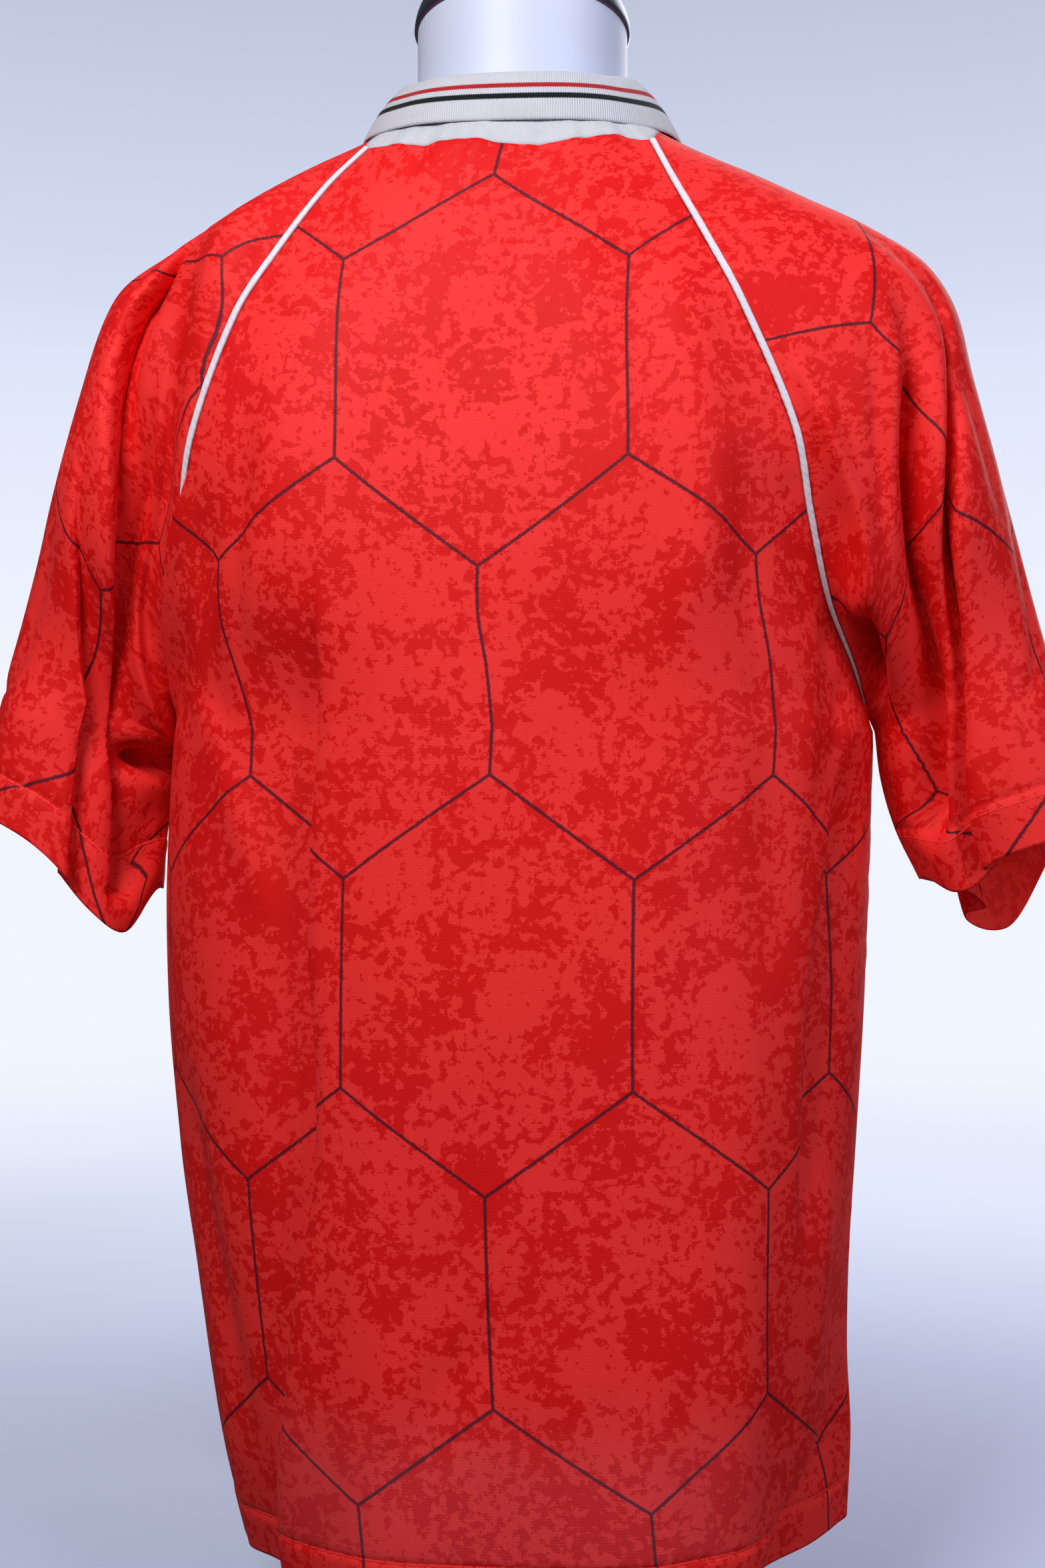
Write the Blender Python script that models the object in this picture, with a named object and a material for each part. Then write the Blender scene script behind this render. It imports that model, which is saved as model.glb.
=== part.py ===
"""Football jersey with raglan sleeves, hanging on a limbless display torso.

The jersey is cut as a maker cuts one: a back, a front, two raglan sleeves, a white piping in
each of the four raglan seams, a knitted neckband and a turned-down knitted collar. Every piece
is a thin cloth wall of its own, a sewing gap away from its neighbours. The smooth torso that
fills the neck and carries the shoulders stands on its own flat foot.

+X is the wearer's left, -Y the wearer's front, +Z is up. The origin is the middle of the foot.
"""

import math
from collections import namedtuple

import bmesh
import bpy
from mathutils import Vector

# Cloth and seams, in metres
WALL = 0.0015
KNIT_WALL = 0.0018
SEAM_GAP = 0.0003
PIPING_HALF_WIDTH = 0.0022
PIPING_CROWN = 0.0008
ARMPIT_PARTING = 0.0016

# Heights of the jersey above the foot
HEM_HEIGHT = 0.068
ARMPIT_HEIGHT = 0.530

# Mesh density: rows run up the body or down the sleeve, columns run around it
BODY_ROWS = 12
RAGLAN_ROWS = 11
TUBE_ROWS = 5
BACK_COLUMNS = 34
FRONT_COLUMNS = 24
SLEEVE_COLUMNS = 28
RING_COLUMNS = 32
COLLAR_COLUMNS = 36
CURVE_STEPS = 24

# Body of the jersey from hem to armpit: where each side, the back and the front hang, and the
# angle at which the cloth leaves each side, 90 where it runs straight backwards
Section = namedtuple("Section", "height left right back front left_lean right_lean")
BODY_SECTIONS = (
    Section(0.068, 0.168, -0.189, 0.146, -0.137, 78, 62),
    Section(0.120, 0.179, -0.191, 0.149, -0.139, 80, 66),
    Section(0.172, 0.186, -0.189, 0.151, -0.140, 82, 74),
    Section(0.228, 0.193, -0.190, 0.151, -0.141, 84, 80),
    Section(0.294, 0.2005, -0.194, 0.151, -0.141, 88, 86),
    Section(0.381, 0.207, -0.199, 0.150, -0.140, 88, 88),
    Section(0.460, 0.207, -0.201, 0.148, -0.139, 88, 88),
    Section(0.530, 0.203, -0.203, 0.146, -0.138, 88, 88),
)
HEM_LIFT_RIGHT = 0.010

# Raglan seams from armpit (rise 0) to neckline (rise 1). drift shifts both towards the left
Raglan = namedtuple("Raglan", "rise half_width drift back back_height front front_height")
RAGLAN_SEAMS = (
    Raglan(0.00, 0.203, 0.0000, 0.000, 0.530, 0.000, 0.530),
    Raglan(0.13, 0.194, 0.0030, 0.036, 0.565, -0.036, 0.565),
    Raglan(0.25, 0.184, 0.0080, 0.066, 0.600, -0.066, 0.600),
    Raglan(0.39, 0.173, 0.0075, 0.092, 0.645, -0.092, 0.645),
    Raglan(0.52, 0.164, 0.0070, 0.107, 0.690, -0.107, 0.688),
    Raglan(0.69, 0.138, 0.0082, 0.110, 0.755, -0.109, 0.750),
    Raglan(0.80, 0.118, 0.0068, 0.101, 0.792, -0.097, 0.790),
    Raglan(0.92, 0.096, 0.0045, 0.086, 0.830, -0.078, 0.825),
    Raglan(1.00, 0.080, 0.0000, 0.075, 0.854, -0.065, 0.846),
)

# Centre lines of back and front above the armpits, and how the cloth leaves each raglan seam:
# lean is the angle to the seam's own width, 90 where it leaves straight backwards
Yoke = namedtuple("Yoke", "rise back back_height front front_height body_lean sleeve_lean")
YOKE = (
    Yoke(0.00, 0.146, 0.530, -0.138, 0.530, 88, 78),
    Yoke(0.13, 0.146, 0.560, -0.140, 0.558, 74, 58),
    Yoke(0.25, 0.145, 0.592, -0.141, 0.587, 60, 38),
    Yoke(0.39, 0.143, 0.636, -0.141, 0.625, 45, 16),
    Yoke(0.52, 0.139, 0.680, -0.139, 0.662, 33, 0),
    Yoke(0.69, 0.129, 0.744, -0.133, 0.712, 22, -12),
    Yoke(0.80, 0.120, 0.785, -0.125, 0.744, 18, -18),
    Yoke(1.00, 0.100, 0.848, -0.098, 0.795, 24, -58),
)

# Outer line of each sleeve: run 0 at the neck, 1 level with the armpit, 2 at the cuff
Outer = namedtuple("Outer", "run left left_height right right_height")
SLEEVE_OUTER = (
    Outer(0.00, 0.084, 0.874, -0.084, 0.873),
    Outer(0.09, 0.116, 0.860, -0.116, 0.857),
    Outer(0.21, 0.158, 0.837, -0.161, 0.836),
    Outer(0.34, 0.204, 0.811, -0.203, 0.816),
    Outer(0.43, 0.232, 0.793, -0.233, 0.796),
    Outer(0.50, 0.245, 0.772, -0.250, 0.771),
    Outer(0.61, 0.259, 0.727, -0.2605, 0.729),
    Outer(0.80, 0.280, 0.652, -0.281, 0.652),
    Outer(1.00, 0.3035, 0.572, -0.302, 0.573),
    Outer(1.50, 0.314, 0.531, -0.318, 0.528),
    Outer(2.00, 0.324, 0.490, -0.334, 0.482),
)

# Underarm line of each sleeve, from the armpit (run 1) to the cuff (run 2)
Under = namedtuple("Under", "run left left_height right right_height")
SLEEVE_UNDER = (
    Under(1.00, 0.203, 0.530, -0.203, 0.530),
    Under(1.35, 0.208, 0.503, -0.2065, 0.502),
    Under(1.70, 0.212, 0.474, -0.2150, 0.474),
    Under(2.00, 0.215, 0.448, -0.2285, 0.447),
)

# How far the sleeve's row bulges to the back and front: at its seam and at its outer line
Bulge = namedtuple("Bulge", "run seam outer")
SLEEVE_BULGE = (
    Bulge(0.00, 0.018, 0.024),
    Bulge(0.20, 0.020, 0.055),
    Bulge(0.48, 0.040, 0.070),
    Bulge(0.75, 0.062, 0.072),
    Bulge(1.00, 0.074, 0.076),
    Bulge(2.00, 0.080, 0.084),
)

# Where each cuff hangs lower than the line through its ends, in shares as for the folds
CuffDip = namedtuple("CuffDip", "side centre in_width out_width depth")
CUFF_DIPS = (
    CuffDip(1, 0.78, 0.14, 0.20, 0.040),
    CuffDip(1, -0.86, 0.16, 0.18, 0.014),
    CuffDip(-1, 0.72, 0.14, 0.08, 0.014),
    CuffDip(-1, -0.50, 0.24, 0.15, 0.057),
)

# Large folds of the body. side and places: metres from the centre line, + to the wearer's
# left; level: 0 hem, 1 armpit, 2 neckline; depth is + for a ridge and - for a trough
Fold = namedtuple("Fold", "face top bottom at_top at_bottom depth left_width right_width fade")
BODY_FOLDS = (
    Fold(1, 1.30, -0.50, 0.104, 0.140, -0.019, 0.060, 0.012, 0.45),
    Fold(1, 1.20, -0.50, 0.062, 0.088, 0.006, 0.020, 0.040, 0.50),
    Fold(1, 1.70, 0.62, -0.160, -0.172, -0.017, 0.012, 0.035, 0.30),
    Fold(1, 1.65, 0.66, -0.125, -0.135, 0.006, 0.030, 0.014, 0.30),
    Fold(1, 0.90, 0.08, -0.196, -0.190, -0.018, 0.013, 0.040, 0.30),
    Fold(1, 0.85, -0.40, -0.150, -0.140, 0.006, 0.045, 0.018, 0.35),
    Fold(1, 0.95, -0.50, -0.030, -0.045, 0.004, 0.050, 0.050, 0.60),
    Fold(-1, 1.35, -0.50, 0.120, 0.125, -0.017, 0.014, 0.050, 0.45),
    Fold(-1, 1.25, -0.50, 0.082, 0.084, 0.006, 0.025, 0.030, 0.50),
    Fold(-1, 1.45, -0.50, -0.115, -0.130, -0.018, 0.050, 0.014, 0.45),
    Fold(-1, 1.30, -0.50, -0.070, -0.080, 0.006, 0.030, 0.030, 0.50),
    Fold(-1, 0.80, -0.50, 0.010, 0.022, 0.005, 0.050, 0.045, 0.60),
)

# Large folds of the sleeves. Places are shares of half a row: 0 the outer line, 1 the back
# seam or underarm, -1 the front one; run as in SLEEVE_OUTER
Crease = namedtuple("Crease", "side top bottom at_top at_bottom depth in_width out_width fade")
SLEEVE_FOLDS = (
    Crease(1, 0.50, 2.6, 0.54, 0.42, -0.013, 0.060, 0.13, 0.40),
    Crease(1, 0.56, 2.6, 0.68, 0.58, 0.010, 0.055, 0.09, 0.40),
    Crease(1, 0.66, 1.9, 0.84, 0.80, -0.013, 0.100, 0.08, 0.35),
    Crease(1, 0.62, 2.6, -0.52, -0.46, -0.013, 0.100, 0.08, 0.45),
    Crease(-1, 0.66, 1.7, 0.86, 0.84, -0.013, 0.090, 0.07, 0.30),
    Crease(-1, 0.66, 2.6, 0.70, 0.66, 0.006, 0.060, 0.09, 0.35),
    Crease(-1, 0.72, 2.6, 0.47, 0.46, 0.011, 0.040, 0.25, 0.40),
    Crease(-1, 0.62, 2.6, -0.50, -0.55, -0.013, 0.100, 0.08, 0.45),
)

# Knitted collar and neckband around the neck: turn 0 at the back, 180 at the front.
# seam joins neckband and collar, roll is the top fold and leaf the free edge; the first row
# mirrors the third, which keeps the curve level at the back
Collar = namedtuple("Collar", "turn seam seam_height roll roll_height leaf leaf_height")
COLLAR_SECTIONS = (
    Collar(-45, 0.0820, 0.8755, 0.0690, 0.9000, 0.0975, 0.8660),
    Collar(0, 0.0850, 0.8680, 0.0695, 0.8950, 0.0950, 0.8600),
    Collar(45, 0.0820, 0.8755, 0.0690, 0.9000, 0.0975, 0.8660),
    Collar(90, 0.0750, 0.8830, 0.0685, 0.9070, 0.0965, 0.8720),
    Collar(135, 0.0755, 0.8560, 0.0710, 0.8780, 0.1110, 0.8400),
    Collar(168, 0.0800, 0.8270, 0.0745, 0.8420, 0.1330, 0.7760),
    Collar(180, 0.0830, 0.8140, 0.0770, 0.8290, 0.1380, 0.7600),
)
COLLAR_OPENING = 4.0
ROLL_HALF_WIDTH = 0.0024

# Display torso, from its flat foot to the top of the neck
Ring = namedtuple("Ring", "height half_width back front squareness tilt")
TORSO_RINGS = (
    Ring(0.000, 0.128, 0.096, -0.096, 2.2, 0.0),
    Ring(0.006, 0.134, 0.102, -0.102, 2.2, 0.0),
    Ring(0.060, 0.142, 0.110, -0.107, 2.2, 0.0),
    Ring(0.140, 0.146, 0.112, -0.107, 2.2, 0.0),
    Ring(0.230, 0.140, 0.101, -0.101, 2.2, 0.0),
    Ring(0.320, 0.134, 0.091, -0.098, 2.2, 0.0),
    Ring(0.420, 0.144, 0.094, -0.105, 2.2, 0.0),
    Ring(0.520, 0.160, 0.103, -0.117, 2.3, 0.0),
    Ring(0.600, 0.172, 0.109, -0.120, 2.3, 0.0),
    Ring(0.660, 0.188, 0.110, -0.116, 2.2, 0.0),
    Ring(0.710, 0.208, 0.108, -0.108, 2.1, 0.0),
    Ring(0.750, 0.220, 0.103, -0.098, 2.0, 0.0),
    Ring(0.780, 0.219, 0.096, -0.086, 1.9, 0.0),
    Ring(0.800, 0.196, 0.090, -0.078, 1.9, 0.0),
    Ring(0.820, 0.155, 0.083, -0.070, 1.9, 0.0),
    Ring(0.840, 0.112, 0.076, -0.063, 1.95, 0.0),
    Ring(0.858, 0.080, 0.069, -0.060, 2.0, 0.02),
    Ring(0.876, 0.066, 0.063, -0.060, 2.0, 0.06),
    Ring(0.900, 0.062, 0.060, -0.060, 2.0, 0.12),
    Ring(0.938, 0.0615, 0.059, -0.060, 2.0, 0.18),
)

# Neck cap: a domed metal lid on the sloping top of the neck
CAP_OVERHANG = 0.0020
CAP_HEIGHT = 0.032
CAP_STEPS = 7
CAP_CLEARANCE = 0.0004

MATERIALS = {
    "red_cloth": ((0.62, 0.012, 0.012, 1.0), 0.55, 0.0),
    "white_piping": ((0.72, 0.68, 0.64, 1.0), 0.70, 0.0),
    "white_knit": ((0.76, 0.74, 0.71, 1.0), 0.80, 0.0),
    "torso_white": ((0.80, 0.81, 0.85, 1.0), 0.45, 0.0),
    "chrome": ((0.55, 0.55, 0.57, 1.0), 0.15, 1.0),
}


def read(table, column, at):
    """A smooth value of one column, at a place given in the table's first column."""
    places = [row[0] for row in table]
    values = [getattr(row, column) for row in table]
    at = min(max(at, places[0]), places[-1])
    last = len(places) - 1
    low = max(i for i in range(last) if places[i] <= at or i == 0)
    span = places[low + 1] - places[low]

    def slope(i):
        before, after = max(i - 1, 0), min(i + 1, last)
        return (values[after] - values[before]) / (places[after] - places[before])

    t = (at - places[low]) / span
    rise = values[low + 1] - values[low]
    start, end = slope(low) * span, slope(low + 1) * span
    return values[low] + t * (start + t * (3 * rise - 2 * start - end + t * (start + end - 2 * rise)))


def ease(share):
    """0 below 0, 1 above 1 and smooth between."""
    share = min(max(share, 0.0), 1.0)
    return share * share * (3 - 2 * share)


def spread(low, high, count):
    """Evenly spaced values, both ends included."""
    return [low + (high - low) * i / (count - 1) for i in range(count)]


def arc(points, count):
    """The Bezier curve of four points as count points, evenly spaced along it."""
    a, b, c, d = points
    fine = []
    for t in spread(0.0, 1.0, CURVE_STEPS):
        s = 1 - t
        fine.append(a * s**3 + b * (3 * s * s * t) + c * (3 * s * t * t) + d * t**3)
    lengths = [0.0]
    for before, after in zip(fine, fine[1:]):
        lengths.append(lengths[-1] + (after - before).length)
    found, low = [], 0
    for goal in spread(0.0, lengths[-1], count):
        while low < len(fine) - 2 and lengths[low + 1] < goal:
            low += 1
        share = (goal - lengths[low]) / max(lengths[low + 1] - lengths[low], 1e-9)
        found.append(fine[low].lerp(fine[low + 1], share))
    return found, lengths[-1]


def bump(distance, left_width, right_width):
    """A soft fold profile, 1 at its line, with its own width on each side."""
    width = left_width if distance > 0 else right_width
    return math.exp(-((distance / width) ** 2))


def raglan_point(side, face, rise):
    """A point of a raglan seam: side +1 is the wearer's left, face +1 the back."""
    back = face > 0
    return Vector((
        side * read(RAGLAN_SEAMS, "half_width", rise) + read(RAGLAN_SEAMS, "drift", rise),
        read(RAGLAN_SEAMS, "back" if back else "front", rise),
        read(RAGLAN_SEAMS, "back_height" if back else "front_height", rise),
    ))


def trimmed(rise):
    """How much of a row's fullness is cut off where the raglan seam starts up from the armpit."""
    return 4.6 * rise * math.exp(-((rise / 0.18) ** 2))


def body_row(face, level, columns):
    """One row of the back (face +1) or front (face -1) from the left to the right, with each
    point's distance from the centre line. level: 0 hem, 1 armpit, 2 neckline."""
    back = face > 0
    column = "back" if back else "front"
    if level <= 1:
        height = HEM_HEIGHT + level * (ARMPIT_HEIGHT - HEM_HEIGHT)
        left = Vector((read(BODY_SECTIONS, "left", height), 0.0, height))
        right = Vector((read(BODY_SECTIONS, "right", height), 0.0, height))
        centre = Vector(((left.x + right.x) / 2, read(BODY_SECTIONS, column, height), height))
        leans = read(BODY_SECTIONS, "left_lean", height), read(BODY_SECTIONS, "right_lean", height)
        middle_fullness = end_fullness = 0.64
    else:
        rise = level - 1
        left, right = raglan_point(1, face, rise), raglan_point(-1, face, rise)
        centre = (left + right) / 2
        centre.y, centre.z = read(YOKE, column, rise), read(YOKE, column + "_height", rise)
        leans = [read(YOKE, "body_lean", rise)] * 2
        middle_fullness = (0.64 - 0.20 * ease(rise)) * (1 - 0.155 * trimmed(rise))
        end_fullness = (0.64 - 0.20 * ease(rise)) * (1 - 0.365 * trimmed(rise))
    halves = []
    for side, end, lean in ((1, left, math.radians(leans[0])), (-1, right, math.radians(leans[1]))):
        width, depth = abs(centre.x - end.x), abs(centre.y - end.y)
        reach = end_fullness * (width * math.cos(lean) + depth * math.sin(lean))
        leaving = Vector((-side * math.cos(lean), face * math.sin(lean), 0.0))
        handles = (centre, centre + Vector((side * middle_fullness * width, 0, 0)), end + leaving * reach, end)
        halves.append(arc(handles, columns // 2 + 1))
    (left_points, left_length), (right_points, right_length) = halves
    points = left_points[::-1] + right_points[1:]
    shares = spread(1.0, -1.0, len(points))
    lift = HEM_LIFT_RIGHT * ease(1 - level / 0.3)
    for point, share in zip(points, shares):
        point.z += lift * min(share, 0.0) ** 2
    distances = [s * (left_length if s > 0 else right_length) for s in shares]
    return points, distances


def sleeve_row(side, run, columns):
    """One row of a sleeve from its back seam over the outer line to its front seam, with each
    point's share of its half row. run: 0 neck, 1 armpit, 2 cuff."""
    name = "left" if side > 0 else "right"
    outer = Vector((read(SLEEVE_OUTER, name, run), 0.003, read(SLEEVE_OUTER, name + "_height", run)))
    rise = max(1 - run, 0.0)
    lean = math.radians(read(YOKE, "sleeve_lean", rise))
    halves = []
    for face in (1, -1):
        if run < 1:
            seam = raglan_point(side, face, rise)
        else:
            seam = Vector((read(SLEEVE_UNDER, name, run), 0.0, read(SLEEVE_UNDER, name + "_height", run)))
        seam.x += side * ARMPIT_PARTING * (1 - ease(rise / 0.10))
        across = Vector((outer.x - seam.x, 0.0, outer.z - seam.z))
        leaving = across.normalized() * math.cos(lean) + Vector((0, face * math.sin(lean), 0))
        seam_bulge = read(SLEEVE_BULGE, "seam", run) * (1 - trimmed(rise))
        reach = 0.55 * across.length * abs(math.cos(lean)) + seam_bulge * abs(math.sin(lean))
        bulge = Vector((0, face * read(SLEEVE_BULGE, "outer", run) * (1 - 0.22 * trimmed(rise)), 0))
        points, _ = arc((outer, outer + bulge, seam + leaving * reach, seam), columns // 2 + 1)
        halves.append(points)
    points = halves[0][::-1] + halves[1][1:]
    shares = spread(1.0, -1.0, len(points))
    for dip in CUFF_DIPS:
        if dip.side == side:
            depth = dip.depth * ease((run - 1.3) / 0.7)
            for point, share in zip(points, shares):
                apart = (share - dip.centre + 1) % 2 - 1
                outward = apart < 0 if dip.centre > 0 else apart > 0
                point.z -= depth * bump(apart, dip.out_width, dip.out_width) if outward \
                    else depth * bump(apart, dip.in_width, dip.in_width)
    return points, shares


def grid_normals(grid, tube_to=-1):
    """Outward unit normals of a grid of points whose rows run from left to right seen from
    outside and follow each other upwards. Rows up to tube_to close into a tube."""
    rows, columns = len(grid), len(grid[0])
    found = []
    for r in range(rows):
        line = []
        for c in range(columns):
            above = min(r + 1, rows - 1)
            if r <= tube_to and c in (0, columns - 1):
                across = grid[r][1] - grid[r][columns - 2]
                above = min(above, tube_to)
            else:
                across = grid[r][min(c + 1, columns - 1)] - grid[r][max(c - 1, 0)]
            up = grid[above][c] - grid[max(r - 1, 0)][c]
            line.append(across.cross(up).normalized())
        found.append(line)
    return found


def moved(grid, normals, amounts):
    """The grid with each point moved along its normal."""
    return [
        [point + normal * amount for point, normal, amount in zip(*line)]
        for line in zip(grid, normals, amounts)
    ]


def body_grid(face, columns):
    """Points of the back or front with its folds, rows from hem to neckline, and its levels.
    Each row runs from left to right seen from outside."""
    levels = spread(0.0, 1.0, BODY_ROWS)[:-1] + spread(1.0, 2.0, RAGLAN_ROWS)
    grid, amounts = [], []
    for level in levels:
        points, distances = body_row(face, level, columns)
        lengths = []
        for distance in distances:
            amount = 0.0
            for fold in BODY_FOLDS:
                if fold.face != face:
                    continue
                share = (fold.top - level) / (fold.top - fold.bottom)
                line = fold.at_top + (fold.at_bottom - fold.at_top) * share
                strength = ease((fold.top - level) / fold.fade) * ease((level - fold.bottom) / fold.fade)
                amount += fold.depth * strength * bump(distance - line, fold.left_width, fold.right_width)
            edge = min(abs(distance - distances[0]), abs(distance - distances[-1]))
            lengths.append(amount * ease(edge / 0.030))
        if face < 0:
            points.reverse()
            lengths.reverse()
        grid.append(points)
        amounts.append(lengths)
    return moved(grid, grid_normals(grid), amounts), levels


def sleeve_grid(side, columns):
    """Points of a sleeve with its folds, rows from cuff to neck, and each row's run. Each row
    goes round from left to right seen from outside."""
    runs = (spread(0.0, 1.0, RAGLAN_ROWS)[:-1] + spread(1.0, 2.0, TUBE_ROWS))[::-1]
    grid, amounts = [], []
    for run in runs:
        points, shares = sleeve_row(side, run, columns)
        lengths = []
        for share in shares:
            amount = 0.0
            for fold in SLEEVE_FOLDS:
                if fold.side != side:
                    continue
                down = (run - fold.top) / (fold.bottom - fold.top)
                line = fold.at_top + (fold.at_bottom - fold.at_top) * down
                strength = ease((run - fold.top) / fold.fade) * ease((fold.bottom - run) / fold.fade)
                amount += fold.depth * strength * bump(line - share, fold.out_width, fold.in_width)
            lengths.append(amount * ease((1 - abs(share)) / 0.14))
        if side > 0:
            points.reverse()
            lengths.reverse()
        grid.append(points)
        amounts.append(lengths)
    return moved(grid, grid_normals(grid, TUBE_ROWS - 1), amounts), runs


def wall(name, outer, normals, material, thickness=WALL, tube_to=-1):
    """A closed cloth wall: the outer points, the same points one thickness deeper, and a rim.
    Rows up to tube_to close on themselves; their first and last points coincide."""
    rows, columns = len(outer), len(outer[0])
    mesh = bmesh.new()
    skins = []
    for depth in (0.0, thickness):
        made = bmesh.ops.create_grid(mesh, x_segments=columns - 1, y_segments=rows - 1, size=1.0)
        for index, vertex in enumerate(made["verts"]):
            r, c = divmod(index, columns)
            vertex.co = outer[r][c] - normals[r][c] * depth
        skins.append(made["verts"])
    top = (rows - 1) * columns
    edges = [(c, c + 1) for c in range(columns - 1)] + [(top + c, top + c + 1) for c in range(columns - 1)]
    for r in range(max(tube_to, 0), rows - 1):
        for c in (0, columns - 1):
            edges.append((r * columns + c, (r + 1) * columns + c))
    for a, b in edges:
        mesh.faces.new((skins[0][a], skins[0][b], skins[1][b], skins[1][a]))
    if tube_to >= 0:
        bmesh.ops.remove_doubles(mesh, verts=mesh.verts[:], dist=1e-6)
    return finished(name, mesh, material)


def finished(name, mesh, material):
    """The mesh as a smooth-shaded object whose faces point outwards."""
    bmesh.ops.recalc_face_normals(mesh, faces=mesh.faces[:])
    data = bpy.data.meshes.new(name)
    mesh.to_mesh(data)
    mesh.free()
    data.shade_smooth()
    data.set_sharp_from_angle(angle=math.radians(50))
    data.materials.append(material)
    thing = bpy.data.objects.new(name, data)
    bpy.context.scene.collection.objects.link(thing)
    return thing


def make_material(name):
    """A Principled material in the piece's own colour."""
    colour, roughness, metallic = MATERIALS[name]
    material = bpy.data.materials.new(name)
    material.use_nodes = True
    shader = material.node_tree.nodes["Principled BSDF"]
    shader.inputs["Base Color"].default_value = colour
    shader.inputs["Roughness"].default_value = roughness
    shader.inputs["Metallic"].default_value = metallic
    return material


def pulled(edge, inner, amount):
    """The edge point moved along the panel, away from its seam."""
    return edge + (inner - edge).normalized() * amount


def opened_seams(grid, pulls):
    """The grid with both side edges of each row pulled back by the row's own amount."""
    return [
        [pulled(row[0], row[1], pull), *row[1:-1], pulled(row[-1], row[-2], pull)]
        for row, pull in zip(grid, pulls)
    ]


def raglan_pull(rise):
    """Half the slot that a raglan seam leaves for its piping, none at the armpit."""
    return SEAM_GAP / 2 + (PIPING_HALF_WIDTH + SEAM_GAP / 2) * ease((rise - 0.02) / 0.10)


def mitre(own, other, rise):
    """A seam's normal: each panel's own near the armpit, shared further up."""
    return (own + other * ease((rise - 0.15) / 0.25)).normalized()


def jersey_panels(cloth, piping):
    """Back, front, sleeves and the piping in the slots between them."""
    bodies = {1: body_grid(1, BACK_COLUMNS), -1: body_grid(-1, FRONT_COLUMNS)}
    sleeves = {side: sleeve_grid(side, SLEEVE_COLUMNS) for side in (1, -1)}
    body_normals = {face: grid_normals(bodies[face][0]) for face in bodies}
    sleeve_normals = {side: grid_normals(sleeves[side][0], TUBE_ROWS - 1) for side in sleeves}
    armpit_row = BODY_ROWS - 1

    for r in range(armpit_row + 1):
        for side in (1, -1):
            ends = [(face, 0 if side * face > 0 else -1) for face in (1, -1)]
            shared = sum((body_normals[f][r][c] for f, c in ends), Vector()).normalized()
            for face, column in ends:
                body_normals[face][r][column] = shared

    strips = []
    for side in (1, -1):
        for face in (1, -1):
            body_column = 0 if side * face > 0 else -1
            sleeve_column = -1 if side * face > 0 else 0
            strip, strip_normals = [], []
            for k in range(RAGLAN_ROWS):
                rise = k / (RAGLAN_ROWS - 1)
                body_r, sleeve_r = armpit_row + k, TUBE_ROWS - 1 + k
                own = body_normals[face][body_r][body_column]
                other = sleeve_normals[side][sleeve_r][sleeve_column]
                body_shared, sleeve_shared = mitre(own, other, rise), mitre(other, own, rise)
                if k:
                    body_normals[face][body_r][body_column] = body_shared
                sleeve_normals[side][sleeve_r][sleeve_column] = sleeve_shared
                half_width = raglan_pull(rise) - SEAM_GAP
                if half_width > PIPING_CROWN:
                    body_row_points = bodies[face][0][body_r]
                    sleeve_row_points = sleeves[side][0][sleeve_r]
                    seam = body_row_points[body_column]
                    body_next = body_row_points[1 if body_column == 0 else -2]
                    sleeve_next = sleeve_row_points[1 if sleeve_column == 0 else -2]
                    middle = (body_shared + sleeve_shared).normalized()
                    edges = [
                        pulled(seam, body_next, half_width),
                        seam + middle * PIPING_CROWN,
                        pulled(seam, sleeve_next, half_width),
                    ]
                    row_normals = [body_shared, middle, sleeve_shared]
                    if side * face > 0:
                        edges.reverse()
                        row_normals.reverse()
                    strip.append(edges)
                    strip_normals.append(row_normals)
            strips.append((side, face, strip, strip_normals))

    for face, name in ((1, "back_panel"), (-1, "front_panel")):
        grid, levels = bodies[face]
        pulls = [SEAM_GAP / 2 if level <= 1 else raglan_pull(level - 1) for level in levels]
        wall(name, opened_seams(grid, pulls), body_normals[face], cloth)
    for side, name in ((1, "sleeve_left"), (-1, "sleeve_right")):
        grid, runs = sleeves[side]
        pulls = [0.0 if run >= 1 else raglan_pull(1 - run) for run in runs]
        wall(name, opened_seams(grid, pulls), sleeve_normals[side], cloth, tube_to=TUBE_ROWS - 1)
    for side, face, strip, strip_normals in strips:
        name = f"piping_{'back' if face > 0 else 'front'}_{'left' if side > 0 else 'right'}"
        wall(name, strip, strip_normals, piping)
    return neckline(bodies, sleeves, body_normals, sleeve_normals)


def neckline(bodies, sleeves, body_normals, sleeve_normals):
    """The jersey's neck edge as one closed loop of points and normals, left sleeve first, round
    by the back, in the sense that a row of outside points takes."""
    pieces = (
        (sleeves[1][0][-1], sleeve_normals[1][-1]),
        (bodies[1][0][-1], body_normals[1][-1]),
        (sleeves[-1][0][-1], sleeve_normals[-1][-1]),
        (bodies[-1][0][-1], body_normals[-1][-1]),
    )
    points, normals = [], []
    for line, line_normals in pieces:
        points.extend(line[:-1])
        normals.extend(line_normals[:-1])
    return points, normals


def around_neck(turn, radius, height):
    """A point around the neck: turn in degrees from the back, + to the wearer's left."""
    angle = math.radians(turn)
    return Vector((radius * math.sin(angle), radius * math.cos(angle), height))


def turn_of(point):
    """The turn of a point around the neck, in degrees."""
    return math.degrees(math.atan2(point.x, point.y))


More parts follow.
